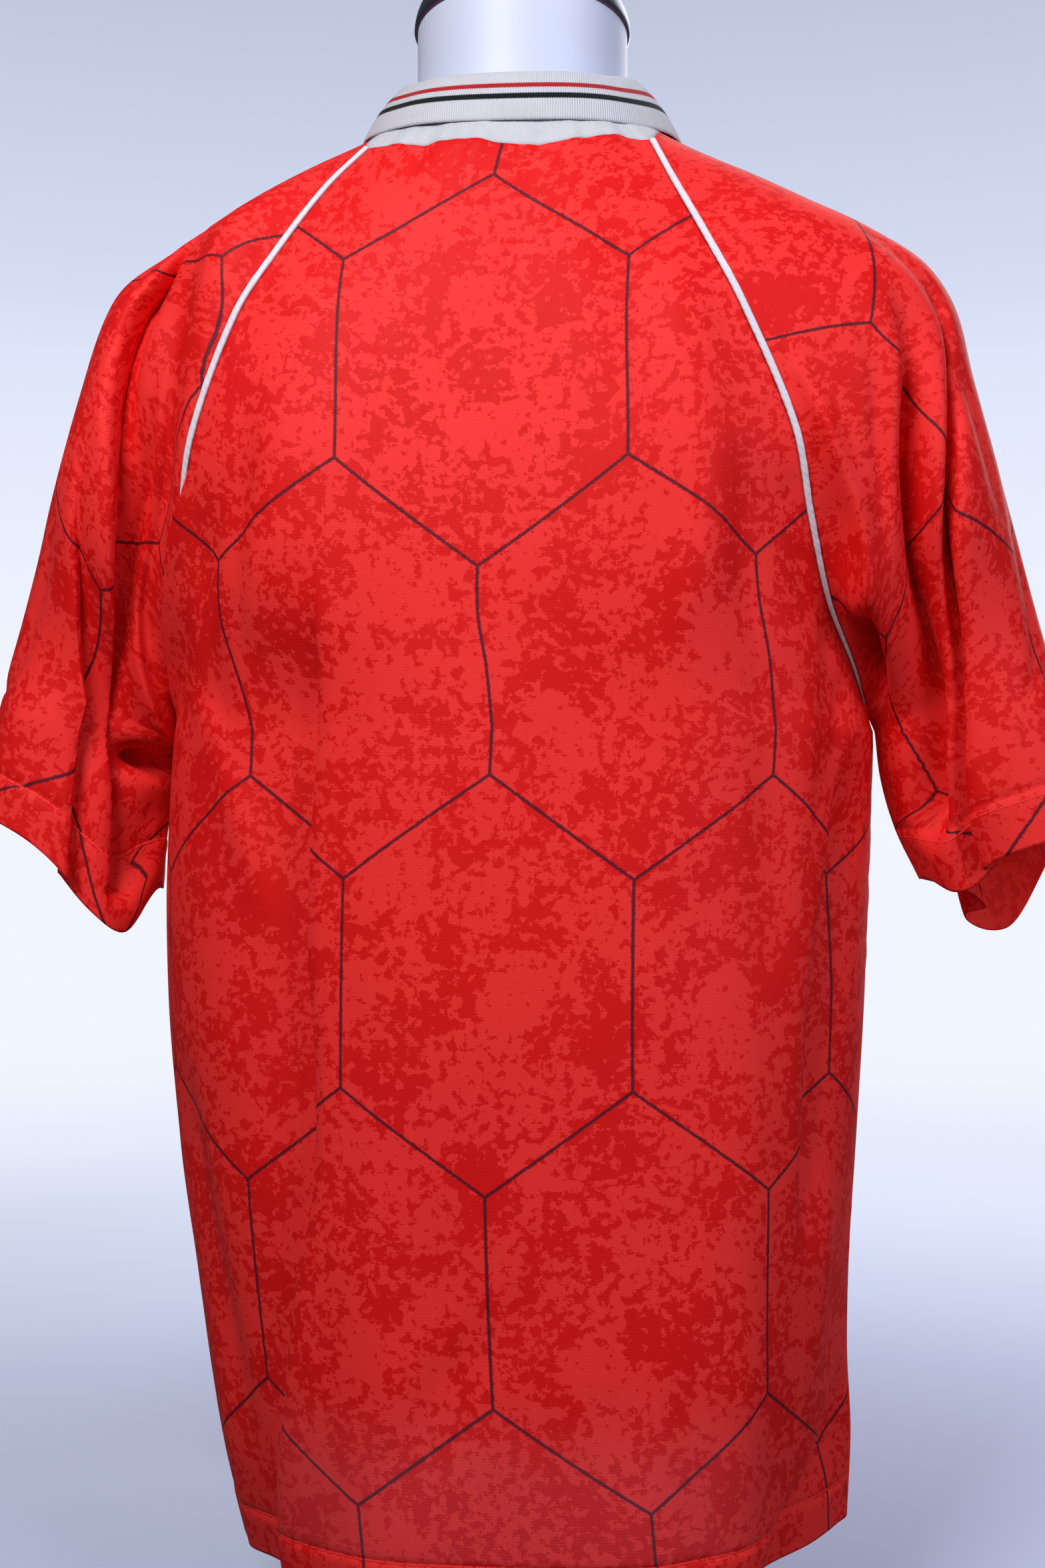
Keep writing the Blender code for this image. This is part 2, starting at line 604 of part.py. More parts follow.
def neckband(loop, loop_normals, knit):
    """The flat knitted band from the neck edge up to the collar seam, closed all round."""
    low, high, low_normals = [], [], []
    for point, normal in zip(loop, loop_normals):
        turn = turn_of(point)
        seam = around_neck(turn, read(COLLAR_SECTIONS, "seam", abs(turn)),
                           read(COLLAR_SECTIONS, "seam_height", abs(turn)))
        rise = (seam - point).normalized()
        low.append(point + rise * (2 * SEAM_GAP))
        high.append(seam - rise * SEAM_GAP)
        low_normals.append(normal)
    rows = [low + low[:1], high + high[:1]]
    normals = grid_normals(rows, 1)
    normals[0] = low_normals + low_normals[:1]
    wall("neckband", rows, normals, knit, tube_to=1)


def collar(knit):
    """The knitted collar: a stand up from the seam, a roll round the top and the leaf down."""
    rows = [[] for _ in range(9)]
    for turn in spread(180 - COLLAR_OPENING, COLLAR_OPENING - 180, COLLAR_COLUMNS + 1):
        at = abs(turn)
        seam = (read(COLLAR_SECTIONS, "seam", at), read(COLLAR_SECTIONS, "seam_height", at))
        roll = (read(COLLAR_SECTIONS, "roll", at), read(COLLAR_SECTIONS, "roll_height", at))
        leaf = (read(COLLAR_SECTIONS, "leaf", at), read(COLLAR_SECTIONS, "leaf_height", at))
        shape = [
            (leaf[0], leaf[1]),
            (leaf[0] * 0.68 + roll[0] * 0.32 + 0.0016, leaf[1] * 0.68 + roll[1] * 0.32 + 0.0016),
            (leaf[0] * 0.34 + roll[0] * 0.66 + 0.0022, leaf[1] * 0.34 + roll[1] * 0.66 + 0.0022),
            (roll[0] + ROLL_HALF_WIDTH * 1.5, roll[1] - ROLL_HALF_WIDTH * 0.9),
            (roll[0] + ROLL_HALF_WIDTH * 0.5, roll[1]),
            (roll[0] - ROLL_HALF_WIDTH * 0.6, roll[1] - ROLL_HALF_WIDTH * 0.3),
            (roll[0] - ROLL_HALF_WIDTH, roll[1] - ROLL_HALF_WIDTH * 1.6),
            (roll[0] * 0.5 + seam[0] * 0.5 - 0.0012, roll[1] * 0.5 + seam[1] * 0.5),
            (seam[0] - KNIT_WALL, seam[1] + 3 * SEAM_GAP),
        ]
        for row, (radius, height) in zip(rows, shape):
            row.append(around_neck(turn, radius, height))
    wall("collar", rows, grid_normals(rows), knit, KNIT_WALL)


def ring_points(ring, count):
    """The points of one torso ring, counter-clockwise seen from above."""
    points = []
    for angle in spread(0.0, 2 * math.pi, count + 1)[:-1]:
        c, s = math.cos(angle), math.sin(angle)
        power = 2 / ring.squareness
        x = ring.half_width * math.copysign(abs(c) ** power, c)
        y = (ring.back if s > 0 else -ring.front) * math.copysign(abs(s) ** power, s)
        points.append(Vector((x, y, ring.height + y * ring.tilt)))
    return points


def lofted(name, rings, material):
    """A closed solid through rings of points, flat at both ends."""
    mesh = bmesh.new()
    loops = [[mesh.verts.new(point) for point in ring] for ring in rings]
    count = len(loops[0])
    for low, high in zip(loops, loops[1:]):
        for i in range(count):
            j = (i + 1) % count
            mesh.faces.new((low[i], low[j], high[j], high[i]))
    mesh.faces.new(loops[0][::-1])
    mesh.faces.new(loops[-1])
    return finished(name, mesh, material)


def torso(white, metal):
    """The smooth limbless torso and the domed metal cap on its neck."""
    body = lofted("display_torso", [ring_points(ring, RING_COLUMNS) for ring in TORSO_RINGS], white)
    neck = TORSO_RINGS[-1]
    base = neck.height + CAP_CLEARANCE
    wide, deep = neck.half_width + CAP_OVERHANG, neck.back + CAP_OVERHANG
    shape = [(0.0, 0.92)]
    for angle in spread(0.0, math.radians(82), CAP_STEPS):
        shape.append((CAP_HEIGHT * math.sin(angle), math.cos(angle) ** 0.6))
    rings = []
    for rise, scale in shape:
        lid = Ring(base + rise, wide * scale, deep * scale, -deep * scale, 2.0, neck.tilt)
        rings.append(ring_points(lid, RING_COLUMNS))
    lofted("neck_cap", rings, metal)
    return body


for old in list(bpy.data.objects):
    bpy.data.objects.remove(old)
red_cloth = make_material("red_cloth")
white_piping = make_material("white_piping")
white_knit = make_material("white_knit")
neck_loop, neck_normals = jersey_panels(red_cloth, white_piping)
neckband(neck_loop, neck_normals, white_knit)
collar(white_knit)
torso(make_material("torso_white"), make_material("chrome"))
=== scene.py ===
"""Football jersey with raglan sleeves on a limbless display torso: how it looks.

Sections follow the order in which the thing is put together: the torso and its cap, then the
back and front, the sleeves, the piping, the neckband, the collar, and last the studio.
Metres throughout. +X is the wearer's left, +Y the wearer's back, +Z up.
"""
import math
from collections import namedtuple

import bmesh
import bpy
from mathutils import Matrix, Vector, noise


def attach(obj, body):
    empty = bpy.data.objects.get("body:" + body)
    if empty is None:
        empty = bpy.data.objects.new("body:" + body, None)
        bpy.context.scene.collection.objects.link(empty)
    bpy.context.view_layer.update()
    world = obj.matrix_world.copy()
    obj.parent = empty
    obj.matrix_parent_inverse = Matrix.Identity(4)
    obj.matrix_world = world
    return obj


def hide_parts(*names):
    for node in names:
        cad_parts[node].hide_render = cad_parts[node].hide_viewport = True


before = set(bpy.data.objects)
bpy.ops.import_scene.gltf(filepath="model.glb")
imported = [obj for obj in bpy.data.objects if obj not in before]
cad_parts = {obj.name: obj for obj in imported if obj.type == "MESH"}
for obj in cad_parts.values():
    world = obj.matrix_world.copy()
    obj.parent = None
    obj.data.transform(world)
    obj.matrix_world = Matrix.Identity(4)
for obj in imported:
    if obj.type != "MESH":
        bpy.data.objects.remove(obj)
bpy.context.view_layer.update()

# ---- Display torso --------------------------------------------------------------------------
# A hollow moulded fibreglass torso without limbs, sprayed with glossy white paint that dries
# with a faint orange-peel skin. It stands on its own flat foot and carries the jersey.
Ring = namedtuple("Ring", "height half_width back front squareness tilt")
TORSO_RINGS = (
    Ring(0.000, 0.128, 0.096, -0.096, 2.2, 0.0),
    Ring(0.006, 0.134, 0.102, -0.102, 2.2, 0.0),
    Ring(0.060, 0.142, 0.110, -0.107, 2.2, 0.0),
    Ring(0.140, 0.146, 0.112, -0.107, 2.2, 0.0),
    Ring(0.230, 0.140, 0.101, -0.101, 2.2, 0.0),
    Ring(0.320, 0.134, 0.091, -0.098, 2.2, 0.0),
    Ring(0.420, 0.144, 0.094, -0.105, 2.2, 0.0),
    Ring(0.520, 0.160, 0.103, -0.117, 2.3, 0.0),
    Ring(0.600, 0.172, 0.109, -0.120, 2.3, 0.0),
    Ring(0.660, 0.188, 0.110, -0.116, 2.2, 0.0),
    Ring(0.710, 0.208, 0.108, -0.108, 2.1, 0.0),
    Ring(0.750, 0.220, 0.103, -0.098, 2.0, 0.0),
    Ring(0.780, 0.219, 0.096, -0.086, 1.9, 0.0),
    Ring(0.800, 0.196, 0.090, -0.078, 1.9, 0.0),
    Ring(0.820, 0.155, 0.083, -0.070, 1.9, 0.0),
    Ring(0.840, 0.112, 0.076, -0.063, 1.95, 0.0),
    Ring(0.858, 0.080, 0.069, -0.060, 2.0, 0.02),
    Ring(0.876, 0.066, 0.063, -0.060, 2.0, 0.06),
    Ring(0.900, 0.062, 0.060, -0.060, 2.0, 0.12),
    Ring(0.938, 0.0615, 0.059, -0.060, 2.0, 0.18),
)
TORSO_COLUMNS = 120
TORSO_STEPS = 5
PEEL_PITCH = 0.0035


def read(table, column, at):
    """A smooth value of one column, at a place given in the table's first column."""
    places = [row[0] for row in table]
    values = [getattr(row, column) for row in table]
    at = min(max(at, places[0]), places[-1])
    last = len(places) - 1
    low = max(i for i in range(last) if places[i] <= at or i == 0)
    span = places[low + 1] - places[low]

    def slope(i):
        before, after = max(i - 1, 0), min(i + 1, last)
        return (values[after] - values[before]) / (places[after] - places[before])

    t = (at - places[low]) / span
    rise = values[low + 1] - values[low]
    start, end = slope(low) * span, slope(low + 1) * span
    return values[low] + t * (start + t * (3 * rise - 2 * start - end + t * (start + end - 2 * rise)))


def spread(low, high, count):
    """Evenly spaced values, both ends included."""
    return [low + (high - low) * i / (count - 1) for i in range(count)]


def ring_points(ring, columns):
    """A ring's points, counter-clockwise from the wearer's left; the last repeats the first."""
    points = []
    for angle in spread(0.0, 2 * math.pi, columns + 1):
        c, s = math.cos(angle), math.sin(angle)
        power = 2 / ring.squareness
        x = ring.half_width * math.copysign(abs(c) ** power, c)
        y = (ring.back if s > 0 else -ring.front) * math.copysign(abs(s) ** power, s)
        points.append(Vector((x, y, ring.height + y * ring.tilt)))
    return points


def surface(rows, cut):
    """A surface through rows of points, which run from left to right seen from outside and
    follow each other upwards. cut holds each point's place on the flat piece, in metres on
    cloth."""
    mesh = bmesh.new()
    flat = mesh.loops.layers.uv.new("cut")
    columns = len(rows[0])
    made = bmesh.ops.create_grid(mesh, x_segments=columns - 1, y_segments=len(rows) - 1, size=1.0)
    for index, vertex in enumerate(made["verts"]):
        vertex.co = rows[index // columns][index % columns]
    mesh.verts.index_update()
    for face in mesh.faces:
        for loop in face.loops:
            loop[flat].uv = cut[loop.vert.index // columns][loop.vert.index % columns]
    return mesh


def wrapped_cut(count):
    """Places on the flat piece for so many rows of rings, as shares of the way round and up."""
    round_shares = [c / TORSO_COLUMNS for c in range(TORSO_COLUMNS + 1)]
    return [[(share, r / count) for share in round_shares] for r in range(count)]


def joined(mesh):
    """The mesh with the points that lie on each other merged, as where a tube's edges meet."""
    bmesh.ops.remove_doubles(mesh, verts=mesh.verts[:], dist=1e-6)
    return mesh


def closed(mesh):
    """The mesh with its meeting edges joined and its open ends filled."""
    joined(mesh)
    open_edges = [edge for edge in mesh.edges if edge.is_boundary]
    bmesh.ops.holes_fill(mesh, edges=open_edges)
    bmesh.ops.recalc_face_normals(mesh, faces=mesh.faces[:])
    return mesh


def shown(name, mesh, *materials):
    """The mesh as a smooth-shaded object in the scene."""
    data = bpy.data.meshes.new(name)
    mesh.to_mesh(data)
    mesh.free()
    data.shade_smooth()
    data.set_sharp_from_angle(angle=math.radians(50))
    for material in materials:
        data.materials.append(material)
    thing = bpy.data.objects.new(name, data)
    bpy.context.scene.collection.objects.link(thing)
    return thing


def piece(name, mesh, *materials):
    """The mesh as a piece of the object, riding on its one body."""
    thing = shown(name, mesh, *materials)
    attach(thing, "root")
    return thing


def linear(code):
    """An sRGB hex colour as the linear colour that shaders take."""
    shares = [int(code[i:i + 2], 16) / 255 for i in (1, 3, 5)]
    return [c / 12.92 if c <= 0.04045 else ((c + 0.055) / 1.055) ** 2.4 for c in shares] + [1.0]


def fresh_material(name):
    """A new material, its node tree and its Principled shader."""
    material = bpy.data.materials.new(name)
    material.use_nodes = True
    return material, material.node_tree, material.node_tree.nodes["Principled BSDF"]


def node(tree, kind, inputs=None, out=0, **settings):
    """Adds a node with its settings, links or sets its inputs, and gives one of its outputs."""
    made = tree.nodes.new(kind)
    for key, value in settings.items():
        setattr(made, key, value)
    for key, value in (inputs or {}).items():
        if isinstance(value, bpy.types.NodeSocket):
            tree.links.new(value, made.inputs[key])
        else:
            made.inputs[key].default_value = value
    return made.outputs[out]


def torso_paint():
    """Glossy white paint on fibreglass: an even, slightly blue white under a soft shine."""
    material, tree, shader = fresh_material("white_sprayed_fibreglass")
    place = node(tree, "ShaderNodeTexCoord", out="Object")
    # Orange peel is drawn at its real size, about 3.5 mm from bump to bump, and the tone
    # drifts over about 170 mm
    peel = node(tree, "ShaderNodeTexNoise", {"Vector": place, "Scale": 1 / PEEL_PITCH, "Detail": 1.0})
    tone = node(tree, "ShaderNodeTexNoise", {"Vector": place, "Scale": 6.0, "Detail": 2.0})
    colour = node(tree, "ShaderNodeMix", {0: tone, 6: linear("#C5CBE1"), 7: linear("#CCD2E8")}, 2,
                  data_type="RGBA")
    bump = node(tree, "ShaderNodeBump", {"Height": peel, "Strength": 0.05, "Distance": 0.0004})
    tree.links.new(colour, shader.inputs["Base Color"])
    tree.links.new(bump, shader.inputs["Normal"])
    shader.inputs["Roughness"].default_value = 0.5
    shader.inputs["IOR"].default_value = 1.5
    shader.inputs["Coat Weight"].default_value = 0.03
    shader.inputs["Coat Roughness"].default_value = 0.2
    return material


rows = []
for low, high in zip(TORSO_RINGS, TORSO_RINGS[1:]):
    for height in spread(low.height, high.height, TORSO_STEPS + 1)[:-1]:
        between = Ring(*(read(TORSO_RINGS, column, height) for column in Ring._fields))
        rows.append(ring_points(between, TORSO_COLUMNS))
rows.append(ring_points(TORSO_RINGS[-1], TORSO_COLUMNS))
torso = piece("torso_form", closed(surface(rows, wrapped_cut(len(rows)))), torso_paint())
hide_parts("display_torso")

# ---- Neck cap -------------------------------------------------------------------------------
# A pressed metal lid, polished and chromed, pushed over the sloping top of the neck. Its lower
# rim stands a little proud of the paint and its crown is a flat dome.
CAP_OVERHANG = 0.0020
CAP_HEIGHT = 0.032
CAP_CLEARANCE = 0.0004
CAP_RIM_SCALE = 0.92
CAP_SIDE_SCALE = 0.985
CAP_ROUNDNESS = 0.6
CAP_ROWS = 26


def chrome():
    """Chromed steel: a dark mirror, softly blurred by fine polishing and fingerprints."""
    material, tree, shader = fresh_material("polished_chrome")
    place = node(tree, "ShaderNodeTexCoord", out="Object")
    # Smears about 17 mm wide
    smear = node(tree, "ShaderNodeTexNoise", {"Vector": place, "Scale": 60.0, "Detail": 4.0})
    rough = node(tree, "ShaderNodeMapRange", {0: smear, 3: 0.30, 4: 0.42})
    tree.links.new(rough, shader.inputs["Roughness"])
    shader.inputs["Base Color"].default_value = linear("#6B7082")
    shader.inputs["Metallic"].default_value = 1.0
    return material


neck = TORSO_RINGS[-1]
wide, deep = neck.half_width + CAP_OVERHANG, neck.back + CAP_OVERHANG
shape = [(0.0, CAP_RIM_SCALE), (0.0, CAP_SIDE_SCALE)]
for angle in spread(math.radians(2), math.radians(90), CAP_ROWS):
    shape.append((CAP_HEIGHT * math.sin(angle), math.cos(angle) ** CAP_ROUNDNESS))
rows = []
for rise, scale in shape:
    height = neck.height + CAP_CLEARANCE + rise
    lid = Ring(height, wide * scale, deep * scale, -deep * scale, 2.0, neck.tilt)
    rows.append(ring_points(lid, TORSO_COLUMNS))
cap = piece("neck_lid", closed(surface(rows, wrapped_cut(len(rows)))), chrome())
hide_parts("neck_cap")

# ---- Back and front -------------------------------------------------------------------------
# The two body panels, cut from printed polyester knit, sewn together down the sides with a
# turned hem. They hang from the shoulders in long soft folds that run down to the hem.
CLOTH = 0.0008
SEAM_GAP = 0.0003
HEM_HEIGHT = 0.068
ARMPIT_HEIGHT = 0.530
HEM_LIFT_RIGHT = 0.010
HEM_DEPTH = 0.025
HEM_FULLNESS = 0.0007
HEM_GROOVE = 0.0009
HEM_GROOVE_WIDTH = 0.0016
CURVE_STEPS = 60
# Columns of each panel, its rows below and above the armpits, and where in the noise its own
# rumples lie
BACK_COLUMNS, BACK_LOW_ROWS, BACK_HIGH_ROWS, BACK_SEED = 164, 104, 92, 0.0
FRONT_COLUMNS, FRONT_LOW_ROWS, FRONT_HIGH_ROWS, FRONT_SEED = 132, 84, 74, 3.7
# The strip along a seam in which folds, rumples, the hem's relief and gathers come to nothing
FOLDS_CALM = 0.030
RUMPLES_CALM = 0.006
HEM_CALM = 0.004
GATHERS_CALM = 0.010
PIPING_HALF_WIDTH = 0.0022
# A row's handles as shares of its width and depth, how much less they are at the neckline, and
# what the trimming above the armpit takes from each
FULLNESS = 0.64
FULLNESS_LOST = 0.20
TRIMMED_MIDDLE = 0.155
TRIMMED_END = 0.365
# The body below the armpits. A lean is the angle in degrees at which a row leaves its edge:
# 0 towards the middle, 90 straight back or front
Section = namedtuple("Section", "height left right back front left_lean right_lean")
BODY_SECTIONS = (
    Section(0.068, 0.168, -0.189, 0.146, -0.137, 78, 62),
    Section(0.120, 0.179, -0.191, 0.149, -0.139, 80, 66),
    Section(0.172, 0.186, -0.189, 0.151, -0.140, 82, 74),
    Section(0.228, 0.193, -0.190, 0.151, -0.141, 84, 80),
    Section(0.294, 0.2005, -0.194, 0.151, -0.141, 88, 86),
    Section(0.381, 0.207, -0.199, 0.150, -0.140, 88, 88),
    Section(0.460, 0.207, -0.201, 0.148, -0.139, 88, 88),
    Section(0.530, 0.203, -0.203, 0.146, -0.138, 88, 88),
)
# The raglan seams, from the armpit, rise 0, to the neckline, rise 1. drift moves both of them
# towards the wearer's left
Raglan = namedtuple("Raglan", "rise half_width drift back back_height front front_height")
RAGLAN_SEAMS = (
    Raglan(0.00, 0.203, 0.0000, 0.000, 0.530, 0.000, 0.530),
    Raglan(0.13, 0.194, 0.0030, 0.036, 0.565, -0.036, 0.565),
    Raglan(0.25, 0.184, 0.0080, 0.066, 0.600, -0.066, 0.600),
    Raglan(0.39, 0.173, 0.0075, 0.092, 0.645, -0.092, 0.645),
    Raglan(0.52, 0.164, 0.0070, 0.107, 0.690, -0.107, 0.688),
    Raglan(0.69, 0.138, 0.0082, 0.110, 0.755, -0.109, 0.750),
    Raglan(0.80, 0.118, 0.0068, 0.101, 0.792, -0.097, 0.790),
    Raglan(0.92, 0.096, 0.0045, 0.086, 0.830, -0.078, 0.825),
    Raglan(1.00, 0.080, 0.0000, 0.075, 0.854, -0.065, 0.846),
)
# The middle of each panel beside them, and how its rows and the sleeve's leave the seam
Yoke = namedtuple("Yoke", "rise back back_height front front_height body_lean sleeve_lean")
YOKE = (
    Yoke(0.00, 0.146, 0.530, -0.138, 0.530, 88, 78),
    Yoke(0.13, 0.146, 0.560, -0.140, 0.558, 74, 58),
    Yoke(0.25, 0.145, 0.592, -0.141, 0.587, 60, 38),
    Yoke(0.39, 0.143, 0.636, -0.141, 0.625, 45, 16),
    Yoke(0.52, 0.139, 0.680, -0.139, 0.662, 33, 0),
    Yoke(0.69, 0.129, 0.744, -0.133, 0.712, 22, -12),
    Yoke(0.80, 0.120, 0.785, -0.125, 0.744, 18, -18),
    Yoke(1.00, 0.100, 0.848, -0.098, 0.795, 24, -58),
)
# Folds: a path is a row of places, each a level (0 at the hem, 1 at the armpit, 2 at the
# neckline) and the metres from the centre line along the cloth, + to the wearer's left. depth
# is + for a ridge. With a tuck, the path is the lip of an overlapping fold and tuck is how far
# the lip leans over the trough beside it, which lies on the side of the greater width
Fold = namedtuple("Fold", "path depth left_width right_width fade tuck")
Place = namedtuple("Place", "at line")
# Where an overlapping fold's lip and foot lie and how broad they are, in its smaller width,
# and how much of the lip's slide the foot has
LIP_PLACE = 1.3
FOOT_PLACE = -0.1
LIP_BREADTH = 0.8
FOOT_SHARE = 0.8
BACK_FOLDS = (
    Fold(((-0.6, 0.150), (0.07, 0.129), (0.22, 0.112), (0.35, 0.100), (0.47, 0.086), (0.6, 0.084),
          (0.75, 0.089), (1.0, 0.088), (1.2, 0.084), (1.4, 0.078)), -0.011, 0.050, 0.010, 0.42, 0.009),
    Fold(((-0.4, 0.085), (0.3, 0.060), (0.8, 0.050), (1.3, 0.045)), 0.004, 0.030, 0.050, 0.50, 0.0),
    Fold(((0.36, -0.176), (0.52, -0.176), (0.65, -0.178), (0.75, -0.185), (0.9, -0.200), (1.02, -0.212)),
         -0.018, 0.011, 0.030, 0.20, 0.006),
    Fold(((0.80, -0.176), (1.0, -0.181), (1.12, -0.190), (1.27, -0.203), (1.45, -0.200)),
         -0.0045, 0.009, 0.014, 0.20, 0.002),
    Fold(((-0.4, -0.100), (0.03, -0.150), (0.12, -0.205), (0.24, -0.240)), -0.007, 0.012, 0.034, 0.12, 0.002),
    Fold(((0.10, -0.195), (0.60, -0.215)), 0.004, 0.018, 0.014, 0.20, 0.0),
    Fold(((0.60, -0.158), (1.6, -0.140)), -0.0030, 0.014, 0.018, 0.30, 0.0),
    Fold(((-0.4, -0.120), (0.85, -0.140)), 0.004, 0.045, 0.022, 0.35, 0.0),
    Fold(((-0.5, -0.045), (0.95, -0.030)), 0.003, 0.050, 0.050, 0.60, 0.0),
    Fold(((1.15, -0.112), (1.45, -0.118), (1.85, -0.100)), 0.0045, 0.014, 0.020, 0.20, 0.0),
    Fold(((1.05, 0.150), (1.62, 0.128)), -0.0040, 0.014, 0.010, 0.20, 0.0),
    Fold(((0.90, 0.172), (1.50, 0.165)), -0.0035, 0.010, 0.014, 0.18, 0.0),
    Fold(((0.72, 0.120), (0.9, 0.150), (1.12, 0.200)), 0.0030, 0.014, 0.012, 0.15, 0.0),
    Fold(((0.10, 0.165), (0.35, 0.182), (0.65, 0.205)), -0.0060, 0.016, 0.014, 0.20, 0.0),
    Fold(((0.10, 0.035), (0.62, 0.020)), -0.0016, 0.022, 0.018, 0.25, 0.0),
    Fold(((0.05, 0.070), (0.24, 0.030), (0.40, -0.030)), -0.0022, 0.016, 0.020, 0.15, 0.0),
    Fold(((0.80, -0.060), (1.35, -0.045)), -0.0016, 0.030, 0.024, 0.25, 0.0),
    Fold(((1.60, 0.060), (1.92, 0.040)), -0.0014, 0.012, 0.016, 0.14, 0.0),
    Fold(((1.66, -0.012), (1.94, -0.020)), -0.0012, 0.010, 0.014, 0.14, 0.0),
    Fold(((1.55, -0.085), (1.90, -0.062)), -0.0014, 0.012, 0.016, 0.14, 0.0),
    Fold(((0.88, -0.196), (1.0, -0.208), (1.14, -0.222)), -0.0050, 0.008, 0.010, 0.10, 0.0),
    Fold(((-0.3, -0.098), (0.35, -0.105)), -0.0030, 0.016, 0.024, 0.30, 0.0),
    Fold(((-0.3, 0.196), (0.40, 0.190)), 0.0030, 0.012, 0.018, 0.30, 0.0),
)
FRONT_FOLDS = (
    Fold(((-0.5, 0.135), (0.4, 0.126), (1.35, 0.130)), -0.014, 0.012, 0.050, 0.45, 0.008),
    Fold(((-0.5, 0.084), (1.25, 0.082)), 0.005, 0.025, 0.030, 0.50, 0.0),
    Fold(((-0.5, -0.115), (0.5, -0.103), (1.45, -0.100)), -0.014, 0.050, 0.012, 0.45, 0.008),
    Fold(((-0.5, -0.070), (1.30, -0.060)), 0.005, 0.030, 0.030, 0.50, 0.0),
    Fold(((-0.5, 0.022), (0.80, 0.010)), 0.005, 0.050, 0.045, 0.60, 0.0),
    Fold(((1.05, 0.155), (1.60, 0.128)), -0.0040, 0.012, 0.012, 0.20, 0.0),
    Fold(((0.70, 0.150), (0.9, 0.168), (1.15, 0.195)), 0.0030, 0.014, 0.012, 0.15, 0.0),
    Fold(((0.15, 0.175), (0.75, 0.188)), -0.0060, 0.016, 0.014, 0.20, 0.0),
    Fold(((0.05, 0.058), (0.60, 0.050)), -0.0020, 0.020, 0.018, 0.25, 0.0),
    Fold(((0.85, -0.020), (1.40, -0.030)), -0.0018, 0.028, 0.022, 0.25, 0.0),
    Fold(((1.10, -0.150), (1.62, -0.120)), -0.0040, 0.010, 0.014, 0.20, 0.0),
    Fold(((0.30, -0.178), (0.90, -0.190)), -0.0060, 0.014, 0.016, 0.20, 0.0),
    Fold(((-0.3, -0.030), (0.40, -0.035)), 0.0025, 0.020, 0.024, 0.30, 0.0),
)
# The back's left edge laps over its raglan seam from the armpit up to LAP_TOP of the rise
LAP_TOP = 0.52
LAP_REACH = 0.010
LAP_LIFT = 0.006
# Small unevenness: its waves to a metre across and up, and its height
Wave = namedtuple("Wave", "across up height")
LONG_WAVE = Wave(9, 5, 0.0016)
SHORT_WAVE = Wave(30, 18, 0.0004)
CRINKLE = Wave(75, 75, 0.0012)
CRINKLE_REACH = 0.014
# Gathers below the neckband: the cloth from the armpits' height up to the neckline, how far
# down from it they reach, how high they stand and how far they pull the seam up and down
YOKE_LENGTH = 0.33
GATHER_REACH = 0.022
GATHER_HEIGHT = 0.0026
PUCKER_HEIGHT = 0.0016
SEAM_WANDER = 0.0040


def ease(share):
    """0 below 0, 1 above 1 and smooth between."""
    share = min(max(share, 0.0), 1.0)
    return share * share * (3 - 2 * share)


def bell(distance, left_width, right_width):
    """A soft fold profile, 1 at its line, with its own width on each side."""
    width = left_width if distance > 0 else right_width
    return math.exp(-((distance / width) ** 2))


def arc(points, count, short=0.0):
    """The Bezier curve of four points as evenly spaced points, ending short of its end."""
    a, b, c, d = points
    fine = []
    for t in spread(0.0, 1.0, CURVE_STEPS):
        s = 1 - t
        fine.append(a * s**3 + b * (3 * s * s * t) + c * (3 * s * t * t) + d * t**3)
    lengths = [0.0]
    for before, after in zip(fine, fine[1:]):
        lengths.append(lengths[-1] + (after - before).length)
    found, low = [], 0
    for goal in spread(0.0, lengths[-1] - short, count):
        while low < len(fine) - 2 and lengths[low + 1] < goal:
            low += 1
        share = (goal - lengths[low]) / max(lengths[low + 1] - lengths[low], 1e-9)
        found.append(fine[low].lerp(fine[low + 1], share))
    return found, lengths[-1] - short


def raglan_point(side, face, rise):
    """A point of a raglan seam: side +1 is the wearer's left, face +1 the back."""
    back = face > 0
    return Vector((
        side * read(RAGLAN_SEAMS, "half_width", rise) + read(RAGLAN_SEAMS, "drift", rise),
        read(RAGLAN_SEAMS, "back" if back else "front", rise),
        read(RAGLAN_SEAMS, "back_height" if back else "front_height", rise),
    ))


def raglan_pull(rise):
    """How far each panel ends short of its raglan seam, to leave a slot for the piping."""
    return SEAM_GAP / 2 + (PIPING_HALF_WIDTH + SEAM_GAP / 2) * ease((rise - 0.02) / 0.10)


def trimmed(rise):
    """How much of a row's fullness is cut off where the raglan seam starts up from the armpit."""
    return 4.6 * rise * math.exp(-((rise / 0.18) ** 2))


